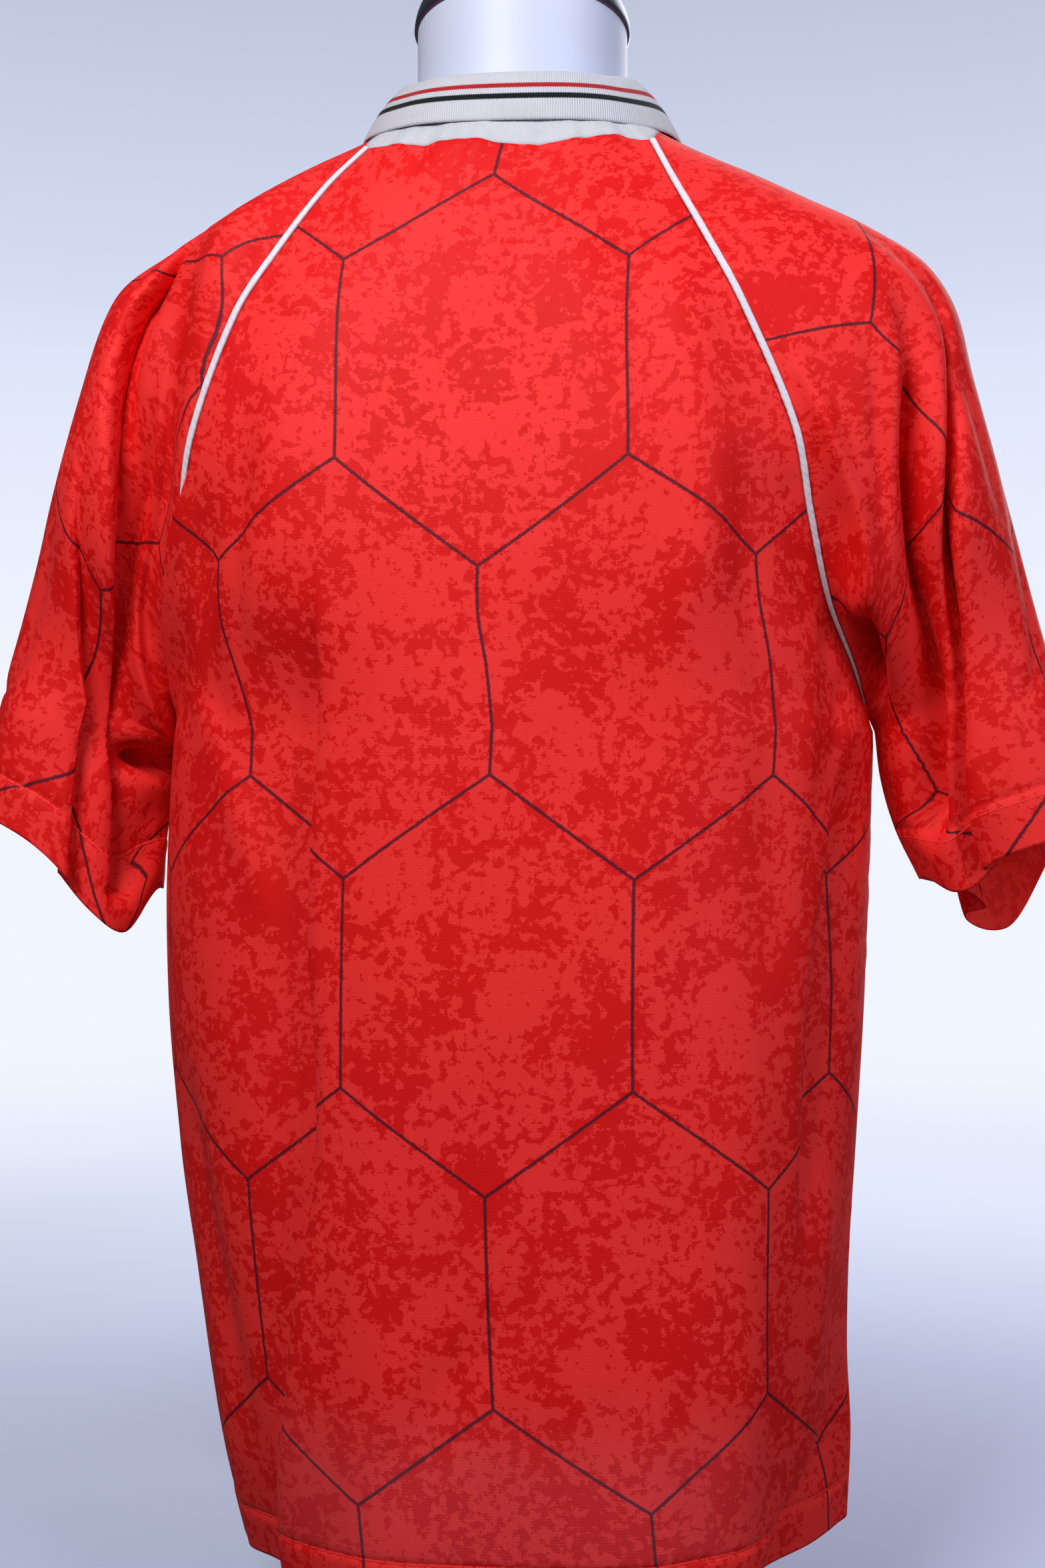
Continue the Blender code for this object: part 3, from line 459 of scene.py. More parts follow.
def body_row(face, level, columns):
    """One row of the back (face +1) or front (face -1) from the wearer's left to the right,
    with each point's distance from the centre line."""
    column = "back" if face > 0 else "front"
    if level <= 1:
        height = HEM_HEIGHT + level * (ARMPIT_HEIGHT - HEM_HEIGHT)
        left = Vector((read(BODY_SECTIONS, "left", height), 0.0, height))
        right = Vector((read(BODY_SECTIONS, "right", height), 0.0, height))
        centre = Vector(((left.x + right.x) / 2, read(BODY_SECTIONS, column, height), height))
        leans = read(BODY_SECTIONS, "left_lean", height), read(BODY_SECTIONS, "right_lean", height)
        middle_fullness = end_fullness = FULLNESS
        short = SEAM_GAP / 2
    else:
        rise = level - 1
        left, right = raglan_point(1, face, rise), raglan_point(-1, face, rise)
        centre = (left + right) / 2
        centre.y, centre.z = read(YOKE, column, rise), read(YOKE, column + "_height", rise)
        leans = [read(YOKE, "body_lean", rise)] * 2
        fullness = FULLNESS - FULLNESS_LOST * ease(rise)
        middle_fullness = fullness * (1 - TRIMMED_MIDDLE * trimmed(rise))
        end_fullness = fullness * (1 - TRIMMED_END * trimmed(rise))
        short = raglan_pull(rise)
    halves = []
    for side, end, lean in ((1, left, math.radians(leans[0])), (-1, right, math.radians(leans[1]))):
        width, depth = abs(centre.x - end.x), abs(centre.y - end.y)
        reach = end_fullness * (width * math.cos(lean) + depth * math.sin(lean))
        leaving = Vector((-side * math.cos(lean), face * math.sin(lean), 0.0))
        level_off = centre + Vector((side * middle_fullness * width, 0, 0))
        halves.append(arc((centre, level_off, end + leaving * reach, end), columns // 2 + 1, short))
    (left_points, left_length), (right_points, right_length) = halves
    points = left_points[::-1] + right_points[1:]
    shares = spread(1.0, -1.0, len(points))
    lift = HEM_LIFT_RIGHT * ease(1 - level / 0.3)
    for point, share in zip(points, shares):
        point.z += lift * min(share, 0.0) ** 2
    return points, [s * (left_length if s > 0 else right_length) for s in shares]


def folds_at(folds, at):
    """The folds that cross one row: each with its line's place in the row and its strength."""
    found = []
    for fold in folds:
        low, high = fold.path[0][0], fold.path[-1][0]
        if low < at < high:
            strength = ease((high - at) / fold.fade) * ease((at - low) / fold.fade)
            found.append((fold, read([Place(*place) for place in fold.path], "line", at), strength))
    return found


def fold_moves(folds, place):
    """How far a row's folds lift the cloth at a place, and how far they slide it towards the
    higher places."""
    lift = slide = 0.0
    for fold, line, strength in folds:
        apart = place - line
        if fold.tuck:
            width = min(fold.left_width, fold.right_width)
            steep = 1 if fold.left_width == width else -1
            apart += steep * LIP_PLACE * width
            lip = math.exp(-(((apart * steep - LIP_PLACE * width) / (LIP_BREADTH * width)) ** 2))
            foot = math.exp(-(((apart * steep - FOOT_PLACE * width) / (LIP_BREADTH * width)) ** 2))
            slide += -steep * fold.tuck * (lip - FOOT_SHARE * foot) * strength
        lift += fold.depth * strength * bell(apart, fold.left_width, fold.right_width)
    return lift, slide


def grid_normals(grid, tube_to=-1):
    """Outward unit normals of a grid of points. Rows up to tube_to close into a tube."""
    rows, columns = len(grid), len(grid[0])
    found = []
    for r in range(rows):
        line = []
        for c in range(columns):
            above = min(r + 1, rows - 1)
            if r <= tube_to and c in (0, columns - 1):
                across = grid[r][1] - grid[r][columns - 2]
                above = min(above, tube_to)
            else:
                across = grid[r][min(c + 1, columns - 1)] - grid[r][max(c - 1, 0)]
            up = grid[above][c] - grid[max(r - 1, 0)][c]
            line.append(across.cross(up).normalized())
        found.append(line)
    return found


def wave_at(point, wave, seed):
    """The lift of one kind of unevenness at a point."""
    across = wave.across
    return wave.height * noise.noise(Vector((point.x * across, point.y * across, point.z * wave.up + seed)))


def rumple(point, edge, seed):
    """The small unevenness of hanging cloth: long soft waves all over and short crinkles where
    sewing has drawn up the edge."""
    smooth = wave_at(point, LONG_WAVE, seed) + wave_at(point, SHORT_WAVE, seed)
    return smooth + wave_at(point, CRINKLE, seed) * math.exp(-edge / CRINKLE_REACH)


def flat_lengths(grid, middle):
    """Each point's place on the flat piece, measured along its row from the middle column and
    up the middle column from the first row."""
    cut, up = [], 0.0
    for r, row in enumerate(grid):
        if r:
            up += (row[middle] - grid[r - 1][middle]).length
        along = [0.0]
        for before, after in zip(row, row[1:]):
            along.append(along[-1] + (after - before).length)
        cut.append([(a - along[middle], up) for a in along])
    return cut


def levels_from_hem(fine_rows, low_rows, high_rows):
    """The rows of a body panel: close together over the hem and its seam, then even."""
    step = 1 / (ARMPIT_HEIGHT - HEM_HEIGHT)
    hem = [height * step for height in fine_rows]
    return hem + spread(hem[-1] + 0.006 * step, 1.0, low_rows)[:-1] + spread(1.0, 2.0, high_rows)


HEM_ROW_HEIGHTS = (
    0, 0.0015, 0.004, 0.008, 0.012, 0.016, 0.020, 0.0225, 0.0238, 0.025, 0.0262, 0.0275, 0.030,
)


def hem_relief(height):
    """A turned hem seen from outside: a doubled, fuller band under a drawn-in seam."""
    band = HEM_FULLNESS * ease((HEM_DEPTH - height) / 0.004)
    return band - HEM_GROOVE * math.exp(-(((height - HEM_DEPTH) / HEM_GROOVE_WIDTH) ** 2))


def moved_cloth(grid, normals, shifts):
    """The grid with each point lifted along its normal, slid along its row and let down."""
    moved = []
    for row, row_normals, row_shifts in zip(grid, normals, shifts):
        line = []
        for c, (point, normal, (lift, slide, down)) in enumerate(zip(row, row_normals, row_shifts)):
            right = (row[min(c + 1, len(row) - 1)] - row[max(c - 1, 0)]).normalized()
            line.append(point + normal * lift + right * slide - Vector((0, 0, down)))
        moved.append(line)
    return moved


def body_panel(face, columns, levels, seed):
    """Points of a body panel with its folds, rows from hem to neckline."""
    grid, shifts = [], []
    for level in levels:
        points, distances = body_row(face, level, columns)
        if face < 0:
            points.reverse()
            distances.reverse()
        row_shifts = []
        height = level * (ARMPIT_HEIGHT - HEM_HEIGHT)
        top_edge = (2 - level) * YOKE_LENGTH
        gathered = math.exp(-((top_edge / GATHER_REACH) ** 2))
        crossing = folds_at(BACK_FOLDS if face > 0 else FRONT_FOLDS, level)
        lap = ease((level - 1.0) / 0.10) * ease((1 + LAP_TOP - level) / 0.16) if face > 0 else 0.0
        for point, distance in zip(points, distances):
            lift, slide = fold_moves(crossing, distance)
            edge = min(abs(distance - distances[0]), abs(distance - distances[-1]))
            calm = ease(edge / FOLDS_CALM)
            lift = lift * calm + rumple(point, min(edge, top_edge), seed) * ease(edge / RUMPLES_CALM)
            gather = noise.noise(Vector((distance * 34, seed, top_edge * 12)))
            pucker = noise.noise(Vector((distance * 120, seed + 2, top_edge * 30)))
            wander = noise.noise(Vector((distance * 24, seed + 5, 0)))
            away = ease(edge / GATHERS_CALM)
            lift += (GATHER_HEIGHT * gather + PUCKER_HEIGHT * pucker) * gathered * away
            point.z += SEAM_WANDER * wander * gathered * away
            lift += hem_relief(height) * ease(edge / HEM_CALM)
            slide *= calm
            if distance > 0:
                lift += LAP_LIFT * lap * ease(edge / 0.005) * (1 - ease((edge - 0.005) / 0.030))
                slide += LAP_REACH * lap * ease(edge / 0.004) * (1 - ease((edge - 0.004) / 0.030))
            row_shifts.append((lift, -slide * face, 0.0))
        grid.append(points)
        shifts.append(row_shifts)
    return moved_cloth(grid, grid_normals(grid), shifts)


LINE_WIDTH = 0.0018
LINE_BLUR = 0.0003
LINE_WOBBLE = 0.0009
CELL_WIDTH = 0.155
CELL_STRETCH = 0.190
# Half of the lattice's repeat, in cells, and the step between its two sets of centres; 0.866 is
# half the square root of three
HALF_CELL = (0.5, 0.8660254, 1.0)
CELL_SLANT = (0.5, 0.8660254, 0.0)
WEAVE_PITCH = 0.0016
HALF_STITCH = 0.0030
Print = namedtuple("Print", "bright middle dark deep line")
FACE_PRINT = Print("#F2322F", "#E92B29", "#DC1110", "#D20D0D", "#3A1222")
REVERSE_PRINT = Print("#E2352E", "#DA2C26", "#CC1F1B", "#C41A18", "#6A2830")
# How strongly pale light from behind is painted into the body's colour just above the hem
BODY_LIGHT_PAINTED_THROUGH = 0.07
SLEEVE_PRINT_SHIFT = (0.038, 0.060)
# How brightly the knit's reverse glows: painted light standing in for studio light through the knit
REVERSE_PAINTED_GLOW = 0.16


def printed_knit(name, colours, light_painted_through=0.0, shift=(0.0, 0.0)):
    """Fine polyester knit with a satin face: mottled reds and a lattice of thin dark lines,
    printed before cutting. Threads and dimples scatter light into a soft shine. Its third
    argument is how strongly pale light from behind, seen through its pores just above the hem,
    is painted into its colour, and shift moves the lattice, in metres."""
    material, tree, shader = fresh_material(name)
    cloth = node(tree, "ShaderNodeUVMap", uv_map="cut")
    # The lines' edges waver by under 1 mm, as ink does on a knit
    wobble = node(tree, "ShaderNodeTexNoise", {"Vector": cloth, "Scale": 900.0, "Detail": 0.0}, "Color")
    nudge = node(tree, "ShaderNodeVectorMath", {0: wobble, 1: (LINE_WOBBLE, LINE_WOBBLE, 0.0),
                                                2: (*shift, 0.0)}, operation="MULTIPLY_ADD")
    inked = node(tree, "ShaderNodeVectorMath", {0: cloth, 1: nudge}, operation="ADD")
    # Long hexagons: the nearer of two sets of centres, then the distance to the cell's edges
    scaled = node(tree, "ShaderNodeVectorMath", {0: inked, 1: (1 / CELL_WIDTH, 1 / CELL_STRETCH, 0.0)},
                  operation="MULTIPLY")
    low_half = [-h for h in HALF_CELL]
    first = node(tree, "ShaderNodeVectorMath", {0: scaled, 1: HALF_CELL, 2: low_half}, operation="WRAP")
    offset = node(tree, "ShaderNodeVectorMath", {0: scaled, 1: CELL_SLANT}, operation="SUBTRACT")
    second = node(tree, "ShaderNodeVectorMath", {0: offset, 1: HALF_CELL, 2: low_half}, operation="WRAP")
    reach_first = node(tree, "ShaderNodeVectorMath", {0: first, 1: first}, 1, operation="DOT_PRODUCT")
    reach_second = node(tree, "ShaderNodeVectorMath", {0: second, 1: second}, 1, operation="DOT_PRODUCT")
    nearer = node(tree, "ShaderNodeMath", {0: reach_first, 1: reach_second}, operation="LESS_THAN")
    inside = node(tree, "ShaderNodeMix", {0: nearer, 4: second, 5: first}, 1, data_type="VECTOR")
    folded = node(tree, "ShaderNodeVectorMath", {0: inside}, operation="ABSOLUTE")
    across = node(tree, "ShaderNodeSeparateXYZ", {0: folded}, 0)
    to_side = node(tree, "ShaderNodeMath", {0: across, 1: -CELL_WIDTH, 2: CELL_WIDTH / 2},
                   operation="MULTIPLY_ADD")
    aslant = node(tree, "ShaderNodeVectorMath", {0: folded, 1: CELL_SLANT}, 1, operation="DOT_PRODUCT")
    steepness = 1 / math.hypot(CELL_SLANT[0] / CELL_WIDTH, CELL_SLANT[1] / CELL_STRETCH)
    to_slant = node(tree, "ShaderNodeMath", {0: aslant, 1: -steepness, 2: steepness / 2},
                    operation="MULTIPLY_ADD")
    to_line = node(tree, "ShaderNodeMath", {0: to_side, 1: to_slant}, operation="MINIMUM")
    line = node(tree, "ShaderNodeMapRange", {0: to_line, 1: LINE_WIDTH / 2 - LINE_BLUR,
                                             2: LINE_WIDTH / 2 + LINE_BLUR, 3: 0.92, 4: 0.0})
    # Mottling: sponged blots about 40 mm wide, broken up by flecks of 2 to 6 mm, in reds that
    # drift over about 110 mm
    blots = node(tree, "ShaderNodeTexNoise", {"Vector": cloth, "Scale": 25.0, "Detail": 6.0,
                                              "Roughness": 0.66, "Distortion": 0.6})
    flecks = node(tree, "ShaderNodeTexNoise", {"Vector": cloth, "Scale": 170.0, "Detail": 3.0,
                                               "Roughness": 0.65})
    drift = node(tree, "ShaderNodeTexNoise", {"Vector": cloth, "Scale": 9.0, "Detail": 2.0})
    tone = node(tree, "ShaderNodeMath", {0: flecks, 1: 1.0, 2: blots}, operation="MULTIPLY_ADD")
    light = node(tree, "ShaderNodeMapRange", {0: tone, 1: 0.972, 2: 0.996})
    shades = {key: linear(code) for key, code in colours._asdict().items()}
    ground = node(tree, "ShaderNodeMix", {0: drift, 6: shades["deep"], 7: shades["dark"]}, 2,
                  data_type="RGBA")
    sponged = node(tree, "ShaderNodeMix", {0: drift, 6: shades["bright"], 7: shades["middle"]}, 2,
                   data_type="RGBA")
    mottled = node(tree, "ShaderNodeMix", {0: light, 6: ground, 7: sponged}, 2, data_type="RGBA")
    printed = node(tree, "ShaderNodeMix", {0: line, 6: mottled, 7: shades["line"]}, 2, data_type="RGBA")
    # Dimples of the knit, drawn at 1.6 mm where the real ones are 0.8 mm, so that they show
    dimples = node(tree, "ShaderNodeTexVoronoi", {"Vector": cloth, "Scale": 1 / WEAVE_PITCH,
                                                  "Randomness": 0.0}, "Distance", voronoi_dimensions="2D")
    apart = node(tree, "ShaderNodeSeparateXYZ", {0: cloth}, 0)
    up = node(tree, "ShaderNodeSeparateXYZ", {0: cloth}, 1)
    # Painted light: just above the hem nothing lies behind the middle of the cloth, so the pale
    # light that would come through the knit there is painted into its colour, most in the pores,
    # fading out between 110 and 165 mm from the middle
    above = node(tree, "ShaderNodeMapRange", {0: up, 1: HEM_DEPTH + 0.001, 2: HEM_DEPTH + 0.004})
    ragged = node(tree, "ShaderNodeMath", {0: blots, 1: -0.06, 2: up}, operation="MULTIPLY_ADD")
    below = node(tree, "ShaderNodeMapRange", {0: ragged, 1: 0.085, 2: 0.045})
    from_middle = node(tree, "ShaderNodeMath", {0: apart}, operation="ABSOLUTE")
    beside = node(tree, "ShaderNodeMapRange", {0: from_middle, 1: 0.165, 2: 0.110})
    thin = node(tree, "ShaderNodeMath", {0: above, 1: below}, operation="MULTIPLY")
    thin = node(tree, "ShaderNodeMath", {0: thin, 1: beside}, operation="MULTIPLY")
    pores = node(tree, "ShaderNodeMapRange", {0: dimples, 1: 0.30, 2: 0.55, 3: light_painted_through * 0.5, 4: light_painted_through})
    painted_light_through = node(tree, "ShaderNodeMath", {0: thin, 1: pores}, operation="MULTIPLY")
    printed = node(tree, "ShaderNodeMix", {0: painted_light_through, 6: printed, 7: linear("#B9A9BC")}, 2, data_type="RGBA")
    # Painted shade: the knit's dimples are darkened towards the dark red where they sink in
    pit_shade = node(tree, "ShaderNodeMapRange", {0: dimples, 1: 0.1, 2: 0.6, 3: 0.10, 4: 0.0})
    knit = node(tree, "ShaderNodeMix", {0: pit_shade, 6: printed, 7: shades["dark"]}, 2, data_type="RGBA")
    # The hem's row of stitches: thread along the seam, broken by a short gap every 6 mm
    over_seam = node(tree, "ShaderNodeMath", {0: up, 1: HEM_DEPTH}, operation="SUBTRACT")
    from_seam = node(tree, "ShaderNodeMath", {0: over_seam}, operation="ABSOLUTE")
    row = node(tree, "ShaderNodeMapRange", {0: from_seam, 1: 0.0003, 2: 0.0007, 3: 1.0, 4: 0.0})
    thread = node(tree, "ShaderNodeMath", {0: apart, 1: HALF_STITCH}, operation="PINGPONG")
    dash = node(tree, "ShaderNodeMath", {0: thread, 1: 0.0006}, operation="GREATER_THAN")
    stitch = node(tree, "ShaderNodeMath", {0: row, 1: dash}, operation="MULTIPLY")
    sewn = node(tree, "ShaderNodeMix", {0: stitch, 6: knit, 7: shades["bright"]}, 2, data_type="RGBA")
    tree.links.new(sewn, shader.inputs["Base Color"])
    weave = node(tree, "ShaderNodeBump", {"Height": dimples, "Strength": 0.25, "Distance": 0.0003})
    raised = node(tree, "ShaderNodeBump", {"Height": stitch, "Strength": 0.6, "Distance": 0.0005,
                                           "Normal": weave})
    tree.links.new(raised, shader.inputs["Normal"])
    gloss = node(tree, "ShaderNodeMapRange", {0: blots, 1: 0.3, 2: 0.7, 3: 0.56, 4: 0.66})
    tree.links.new(gloss, shader.inputs["Roughness"])
    shader.inputs["IOR"].default_value = 1.5
    shader.inputs["Specular IOR Level"].default_value = 0.15
    shader.inputs["Sheen Weight"].default_value = 0.01
    shader.inputs["Sheen Roughness"].default_value = 0.4
    shader.inputs["Sheen Tint"].default_value = linear("#FF8C7A")
    return material


def shell(thing, thickness=CLOTH):
    """Gives a cloth piece its thickness, inwards, with its second material, if any, inside."""
    wall = thing.modifiers.new("thickness", "SOLIDIFY")
    wall.thickness = thickness
    wall.offset = -1.0
    if len(thing.data.materials) > 1:
        wall.material_offset = 1


body_face = printed_knit("printed_polyester_knit", FACE_PRINT, BODY_LIGHT_PAINTED_THROUGH)
sleeve_face = printed_knit("printed_polyester_knit_sleeve", FACE_PRINT, shift=SLEEVE_PRINT_SHIFT)
red_reverse = printed_knit("polyester_knit_reverse", REVERSE_PRINT)
# Painted light: the reverse glows faintly red, standing in for the studio's light that the thin knit lets
# through to it
reverse_shader = red_reverse.node_tree.nodes["Principled BSDF"]
reverse_shader.inputs["Emission Color"].default_value = linear("#D01C1A")
reverse_shader.inputs["Emission Strength"].default_value = REVERSE_PAINTED_GLOW
back_levels = levels_from_hem(HEM_ROW_HEIGHTS, BACK_LOW_ROWS, BACK_HIGH_ROWS)
back_grid = body_panel(1, BACK_COLUMNS, back_levels, BACK_SEED)
back_cut = flat_lengths(back_grid, BACK_COLUMNS // 2)
back = piece("jersey_back", surface(back_grid, back_cut), body_face, red_reverse)
shell(back)
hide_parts("back_panel")

front_levels = levels_from_hem(HEM_ROW_HEIGHTS, FRONT_LOW_ROWS, FRONT_HIGH_ROWS)
front_grid = body_panel(-1, FRONT_COLUMNS, front_levels, FRONT_SEED)
front_cut = flat_lengths(front_grid, FRONT_COLUMNS // 2)
front = piece("jersey_front", surface(front_grid, front_cut), body_face, red_reverse)
shell(front)
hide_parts("front_panel")

# ---- Sleeves --------------------------------------------------------------------------------
# Two raglan sleeves of the same printed knit, each cut in one piece from neckline to cuff and
# sewn into a tube below the armpit, with a turned hem. Empty, they drop straight and dent.
CUFF_RUN = 0.082
SLEEVE_COLUMNS = 220
TUBE_ROWS = 18
SHOULDER_ROWS = 110
SLEEVE_SEED = 7.3
# The cloth from the outer line to a seam, in metres, and the share of it, beside the seam, in
# which the folds come to nothing
HALF_SLEEVE = 0.15
SLEEVE_CALM = 0.10
SEAM_FULLNESS = 0.55
TRIMMED_OUTER = 0.22
OUTER_LINE_BACK = 0.003
CUFF_DIP_START = 1.3
# The outer line over the shoulder to the cuff, for each sleeve; run is 0 at the neck, 1 at the
# armpit and 2 at the cuff
Outer = namedtuple("Outer", "run left left_height right right_height")
SLEEVE_OUTER = (
    Outer(0.00, 0.084, 0.874, -0.084, 0.873),
    Outer(0.09, 0.116, 0.860, -0.116, 0.857),
    Outer(0.21, 0.158, 0.837, -0.161, 0.836),
    Outer(0.34, 0.204, 0.811, -0.203, 0.816),
    Outer(0.43, 0.232, 0.793, -0.233, 0.796),
    Outer(0.50, 0.245, 0.772, -0.250, 0.771),
    Outer(0.61, 0.259, 0.727, -0.2605, 0.729),
    Outer(0.80, 0.280, 0.652, -0.281, 0.652),
    Outer(1.00, 0.3035, 0.572, -0.302, 0.573),
    Outer(1.50, 0.314, 0.531, -0.318, 0.528),
    Outer(2.00, 0.324, 0.490, -0.334, 0.482),
)
# The underarm seam
Under = namedtuple("Under", "run left left_height right right_height")
SLEEVE_UNDER = (
    Under(1.00, 0.203, 0.530, -0.203, 0.530),
    Under(1.35, 0.208, 0.503, -0.2065, 0.502),
    Under(1.70, 0.212, 0.474, -0.2150, 0.474),
    Under(2.00, 0.215, 0.448, -0.2285, 0.447),
)
# How far back and front the handles of a row reach, at its seam and at the outer line
Bulge = namedtuple("Bulge", "run seam outer")
SLEEVE_BULGE = (
    Bulge(0.00, 0.018, 0.024),
    Bulge(0.20, 0.020, 0.055),
    Bulge(0.48, 0.040, 0.070),
    Bulge(0.75, 0.062, 0.072),
    Bulge(1.00, 0.074, 0.076),
    Bulge(2.00, 0.080, 0.084),
)
# Where a cuff's edge sinks: the centre, the width towards the underarm and the width towards
# the outer line, as shares of half a row, and the depth
CuffDip = namedtuple("CuffDip", "side centre in_width out_width depth")
CUFF_DIPS = (
    CuffDip(1, 0.78, 0.14, 0.20, 0.040),
    CuffDip(1, -0.86, 0.16, 0.18, 0.014),
    CuffDip(-1, 0.72, 0.14, 0.08, 0.014),
    CuffDip(-1, -0.50, 0.26, 0.15, 0.053),
)
ARMPIT_PARTING = 0.0016
# Sleeve folds: a path's places are a run and a share of half a row: 0 on the outer line, 1 at
# the back seam or underarm, -1 at the front
LEFT_SLEEVE_FOLDS = (
    Fold(((0.26, 0.31), (0.36, 0.37), (0.44, 0.41), (0.50, 0.45), (0.56, 0.51), (0.62, 0.58),
          (0.70, 0.645), (0.82, 0.640), (0.96, 0.605), (1.2, 0.62), (1.5, 0.67), (1.9, 0.71)),
         -0.021, 0.17, 0.034, 0.16, 0.011),
    Fold(((0.56, 0.50), (0.84, 0.52), (1.2, 0.52), (1.6, 0.54), (2.0, 0.57), (2.9, 0.60)),
         -0.017, 0.075, 0.030, 0.50, 0.009),
    Fold(((0.40, 0.74), (0.68, 0.86), (0.9, 0.82), (1.15, 0.84)), 0.010, 0.040, 0.040, 0.20, 0.0),
    Fold(((0.22, 0.62), (0.50, 0.80), (0.95, 0.84)), -0.012, 0.100, 0.120, 0.18, 0.0),
    Fold(((0.95, 0.40), (1.5, 0.34), (2.3, 0.28)), 0.003, 0.10, 0.10, 0.30, 0.0),
    Fold(((0.30, 0.32), (0.80, 0.27)), -0.004, 0.05, 0.05, 0.15, 0.0),
    Fold(((0.70, 0.44), (0.95, 0.30), (1.2, 0.10)), -0.0022, 0.05, 0.04, 0.15, 0.0),
    Fold(((1.0, 0.13), (1.80, 0.10)), -0.003, 0.05, 0.04, 0.25, 0.0),
    Fold(((0.62, -0.60), (1.3, -0.58), (2.9, -0.54)), -0.018, 0.050, 0.120, 0.45, 0.008),
    Fold(((0.70, -0.76), (1.2, -0.74), (2.0, -0.70)), -0.012, 0.090, 0.045, 0.40, 0.006),
    Fold(((0.40, -0.30), (0.90, -0.28)), -0.004, 0.05, 0.05, 0.20, 0.0),
)
RIGHT_SLEEVE_FOLDS = (
    Fold(((0.42, 0.23), (0.56, 0.28), (0.70, 0.405), (0.82, 0.475), (1.02, 0.49), (1.6, 0.57), (1.8, 0.60),
          (2.9, 0.66)), -0.019, 0.060, 0.026, 0.30, 0.008),
    Fold(((0.40, 0.48), (0.54, 0.54), (0.66, 0.625), (0.78, 0.665), (0.98, 0.69), (1.42, 0.755), (1.8, 0.79)),
         -0.029, 0.052, 0.064, 0.25, 0.0),
    Fold(((0.36, 0.96), (0.48, 0.94), (0.66, 0.85), (0.86, 0.825), (1.0, 0.835)),
         0.011, 0.045, 0.045, 0.16, 0.0),
    Fold(((0.40, 0.66), (0.60, 0.74), (0.80, 0.77)), -0.004, 0.040, 0.040, 0.16, 0.0),
    Fold(((0.30, 0.34), (0.85, 0.26)), -0.003, 0.05, 0.05, 0.15, 0.0),
    Fold(((0.72, 0.10), (0.95, 0.22), (1.2, 0.36)), -0.0022, 0.05, 0.04, 0.15, 0.0),
    Fold(((0.90, 0.20), (1.9, 0.16)), -0.003, 0.05, 0.04, 0.25, 0.0),
    Fold(((0.62, -0.58), (1.3, -0.61), (2.9, -0.64)), -0.018, 0.050, 0.120, 0.45, 0.008),
    Fold(((0.70, -0.78), (1.2, -0.76), (2.0, -0.74)), -0.012, 0.090, 0.045, 0.40, 0.006),
    Fold(((0.40, -0.28), (0.90, -0.30)), -0.004, 0.05, 0.05, 0.20, 0.0),
)
# Pockets where the empty sleeve sags over itself beside the underarm: each is a bulge, or a
# hollow below one, and droop is how far the cloth there sinks
Pocket = namedtuple("Pocket", "side run share depth run_width share_width droop")
SLEEVE_POCKETS = (
    Pocket(1, 0.26, 0.76, 0.008, 0.12, 0.20, 0.0),
    Pocket(1, 0.66, 0.86, -0.014, 0.22, 0.16, 0.0),
    Pocket(1, 1.02, 0.86, 0.011, 0.12, 0.12, 0.004),
    Pocket(1, 1.24, 0.94, -0.036, 0.100, 0.12, 0.0),
    Pocket(1, 1.44, 0.88, 0.006, 0.10, 0.12, -0.004),
    Pocket(-1, 0.75, 0.90, 0.004, 0.05, 0.09, 0.012),
    Pocket(-1, 0.88, 0.940, -0.032, 0.070, 0.075, -0.004),
)


def sleeve_row(side, run, columns):
    """One row of a sleeve from its back seam over the outer line to its front seam, with each
    point's share of its half row. run: 0 neck, 1 armpit, 2 cuff."""
    name = "left" if side > 0 else "right"
    outer_height = read(SLEEVE_OUTER, name + "_height", run)
    outer = Vector((read(SLEEVE_OUTER, name, run), OUTER_LINE_BACK, outer_height))
    rise = max(1 - run, 0.0)
    lean = math.radians(read(YOKE, "sleeve_lean", rise))
    short = raglan_pull(rise) if run < 1 else 0.0
    halves = []
    for face in (1, -1):
        if run < 1:
            seam = raglan_point(side, face, rise)
        else:
            seam = Vector((read(SLEEVE_UNDER, name, run), 0.0, read(SLEEVE_UNDER, name + "_height", run)))
        seam.x += side * ARMPIT_PARTING * (1 - ease(rise / 0.10))
        across = Vector((outer.x - seam.x, 0.0, outer.z - seam.z))
        leaving = across.normalized() * math.cos(lean) + Vector((0, face * math.sin(lean), 0))
        seam_bulge = read(SLEEVE_BULGE, "seam", run) * (1 - trimmed(rise))
        reach = SEAM_FULLNESS * across.length * abs(math.cos(lean)) + seam_bulge * abs(math.sin(lean))
        outer_bulge = face * read(SLEEVE_BULGE, "outer", run) * (1 - TRIMMED_OUTER * trimmed(rise))
        bulge = Vector((0, outer_bulge, 0))
        points, _ = arc((outer, outer + bulge, seam + leaving * reach, seam), columns // 2 + 1, short)
        halves.append(points)
    points = halves[0][::-1] + halves[1][1:]
    shares = spread(1.0, -1.0, len(points))
    for dip in CUFF_DIPS:
        if dip.side == side:
            depth = dip.depth * ease((run - CUFF_DIP_START) / 0.7)
            for point, share in zip(points, shares):
                apart = (share - dip.centre + 1) % 2 - 1
                outward = apart < 0 if dip.centre > 0 else apart > 0
                width = dip.out_width if outward else dip.in_width
                point.z -= depth * bell(apart, width, width)
    return points, shares


